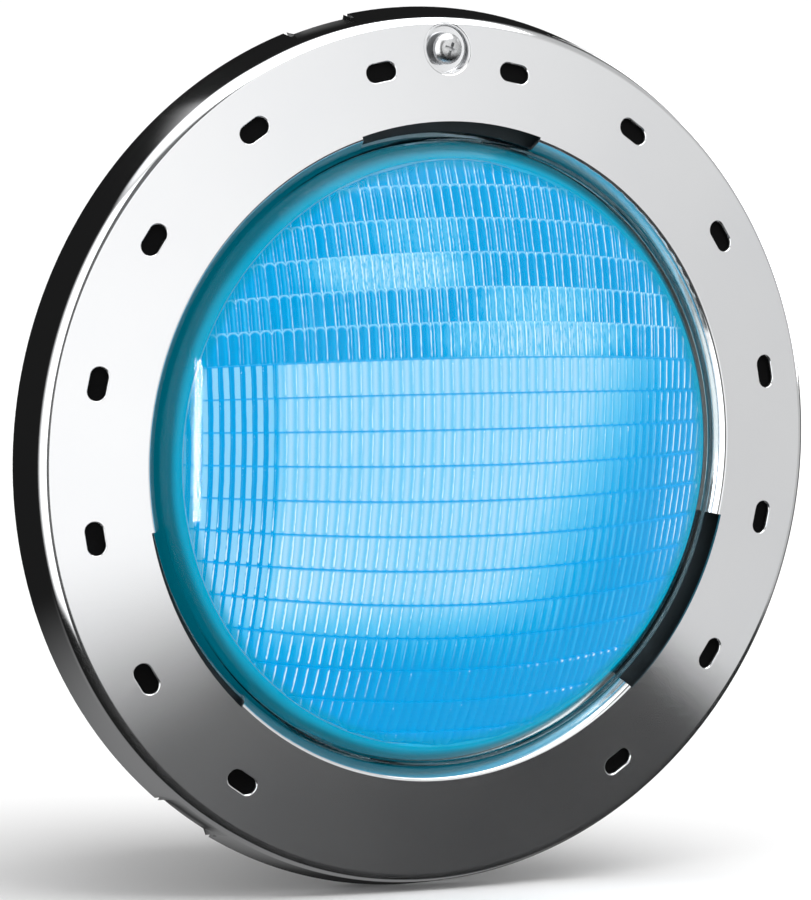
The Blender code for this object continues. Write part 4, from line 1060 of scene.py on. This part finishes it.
# %% Drawn housing
SHEET_HOUSING = 1.2
CABLE_HOLE = 9.3
BEAD_DEPTH = 0.9
shell_low, shell_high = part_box("housing_shell")
HOUSING_END = shell_high.y / MM
FLANGE_SEAT = shell_low.y / MM
FLANGE_BACK = FLANGE_SEAT + SHEET_HOUSING
MOUTH = FLANGE - 4.0
bowl = outline([
    (CABLE_HOLE, HOUSING_END), (24.0, HOUSING_END), (26.5, HOUSING_END - BEAD_DEPTH, 2.0),
    (30.5, HOUSING_END - BEAD_DEPTH, 2.0), (33.0, HOUSING_END, 2.0),
    (MOUTH - 33.0, HOUSING_END, 14.0), (MOUTH - 9.0, 70.0, 20.0), (MOUTH, FLANGE_BACK, 2.4),
    (GASKET_OUTER, FLANGE_BACK)], steps=8)
spin(bowl, 192)
bmesh.ops.solidify(bowl, geom=bowl.faces[:], thickness=SHEET_HOUSING * MM)
bmesh.ops.recalc_face_normals(bowl, faces=bowl.faces)
depths = [vert.co.y / MM for vert in bowl.verts]
print("housing from", round(min(depths), 2), "to", round(max(depths), 2), "should be",
      round(FLANGE_SEAT, 2), "to", round(HOUSING_END, 2))
BOND_HOLE = 4.6
bond_low, bond_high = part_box("bonding_screw")
bond_middle = (bond_low + bond_high) / 2 / MM
bond_hole = stamping_die(BOND_HOLE, BOND_HOLE, [(-6.0, 0), (6.0, 0)])
move(bond_hole, (bond_middle.x, HOUSING_END - SHEET_HOUSING / 2, bond_middle.z))
housing = combine(bowl, ("DIFFERENCE", bond_hole))
piece("housing_drawn", housing, steel_drawn, ("housing_shell",))

# %% [markdown]
# ## Finishes for the smaller parts
#
# The parts whose measured shape is already right keep it. Each gets the finish that goes with its
# material's name. The rubber backing behind the slots lies in deep shadow on the real light, so it
# is the one part with a finish of its own, darker and duller than the rest of the rubber: that
# extra darkness is painted shade.

# %% Turned and moulded finishes
def turned_metal(name, low, high, tarnish, rough):
    material, tree, shader = finish(name, {"Metallic": 1.0})
    spot, _ = tree.place()
    lines = tree.noise(tree.stretched(spot, (60.0, 2600.0, 60.0)), 1.0, 2.0)
    stain = tree.noise(spot, 70.0, 5.0, 0.6).rises(0.5, 0.72)
    tree.fill(shader, {
        "Base Color": tree.blend(stain * 0.6, tree.blend(lines, low, high), tarnish),
        "Roughness": rough + lines * 0.12 + stain * 0.2,
        "Normal": bumped(tree, lines, 0.02)})
    return material


def moulded(name, low, high, rough, grain_scale=900.0, depth_mm=0.03, coat=0.0):
    material, tree, shader = finish(name, {"Coat Weight": coat, "Coat Roughness": 0.15})
    spot, _ = tree.place()
    grain = tree.noise(spot, grain_scale, 3.0)
    cloud = tree.noise(spot, 40.0, 3.0)
    tree.fill(shader, {
        "Base Color": tree.blend(cloud.rises(0.3, 0.7), low, high),
        "Roughness": rough + grain * 0.12,
        "Normal": bumped(tree, grain, depth_mm)})
    return material


print("turned and moulded finishes ready")

# %% Boards, lamps and the heat sink
def circuit_board(name, mask, track):
    """Solder mask over tracks, which run round cells, with a bare pad at each cell's middle."""
    material, tree, shader = finish(name, {"Coat Weight": 0.35, "Coat Roughness": 0.2})
    spot, _ = tree.place()
    cells = tree.add("ShaderNodeTexVoronoi", {"distance": "MANHATTAN", "feature": "F1"},
                     {"Vector": tree.stretched(spot, (1.0, 0.0, 1.0)), "Scale": 160.0})
    lanes = (cells * 9.0).math("FRACT").bump_at(0.5, 0.22)
    pads = 1.0 - cells.rises(0.10, 0.16)
    tree.fill(shader, {
        "Base Color": tree.blend(pads, tree.blend(lanes * 0.5, mask, track), (0.62, 0.60, 0.52)),
        "Metallic": pads * 0.8,
        "Roughness": 0.45 - lanes * 0.1,
        "Normal": bumped(tree, lanes + pads, 0.04)})
    return material


def glowing_chip():
    material, tree, shader = finish("lamp_phosphor", {"Emission Strength": 0.6})
    spot, _ = tree.place()
    grain = tree.noise(spot, 1500.0, 2.0)
    colour = tree.blend(grain, (0.85, 0.62, 0.12), (0.95, 0.80, 0.30))
    tree.fill(shader, {
        "Base Color": colour, "Emission Color": tree.blend(grain, (0.2, 0.6, 1.0), (0.4, 0.8, 1.0)),
        "Roughness": 0.4 + grain * 0.2, "Normal": bumped(tree, grain, 0.05)})
    return material


def anodised():
    material, tree, shader = finish("extruded_aluminium", {"Metallic": 1.0})
    spot, _ = tree.place()
    drawn = tree.noise(tree.stretched(spot, (1800.0, 1800.0, 25.0)), 1.0, 3.0)
    cloud = tree.noise(spot, 25.0, 3.0)
    tree.fill(shader, {
        "Base Color": tree.blend(cloud, (0.60, 0.61, 0.62), (0.74, 0.745, 0.75)),
        "Roughness": 0.34 + drawn * 0.16, "Normal": bumped(tree, drawn, 0.03)})
    return material


print("board, lamp and heat sink finishes ready")

# %% Every measured part gets its finish
finishes = {
    "polished_steel": steel_mirror,
    "clamp_steel": steel_plain,
    "drawn_steel": steel_drawn,
    "black_rubber": rubber,
    "brass": turned_metal("turned_brass", (0.62, 0.45, 0.18), (0.80, 0.62, 0.30),
                          (0.30, 0.20, 0.09), 0.22),
    "copper": turned_metal("tinned_copper", (0.72, 0.36, 0.20), (0.86, 0.50, 0.32),
                           (0.34, 0.16, 0.10), 0.26),
    "sink_aluminium": anodised(),
    "white_reflector": moulded("white_moulding", (0.80, 0.82, 0.83), (0.88, 0.89, 0.90), 0.3),
    "white_board": circuit_board("white_board", (0.78, 0.79, 0.77), (0.62, 0.64, 0.62)),
    "green_board": circuit_board("green_board", (0.012, 0.12, 0.05), (0.03, 0.24, 0.11)),
    "emitter": glowing_chip(),
    "dark_plastic": moulded("dark_moulding", (0.022, 0.023, 0.026), (0.045, 0.047, 0.052), 0.4),
    "blue_glass": clear_glass(),
}
own_finishes = {
    # Painted shade: the backing's near-black colour stands for the shadow behind the slots.
    "ring_backing": rubber_finish("backing_rubber_painted_shade", (0.001, 0.001, 0.0012),
                                  (0.004, 0.0045, 0.005), 0.08),
}
dressed = 0
for part in frame["record"]["subparts"]:
    node = frame["nodes"][part["node"]]
    if node.hide_render:
        continue
    usual = finishes[part["material_slot"]]
    node.data.materials.clear()
    node.data.materials.append(own_finishes.get(part["node"], usual))
    dressed += 1
print(dressed, "measured parts dressed")

# %% [markdown]
# ## Last step
#
# The measured model's box is printed, in mm. The new pieces have to stay within the
# measured size.

# %% Sizes and finish
print("measured box", [[round(c / MM, 1) for c in corner] for corner in cad_box])
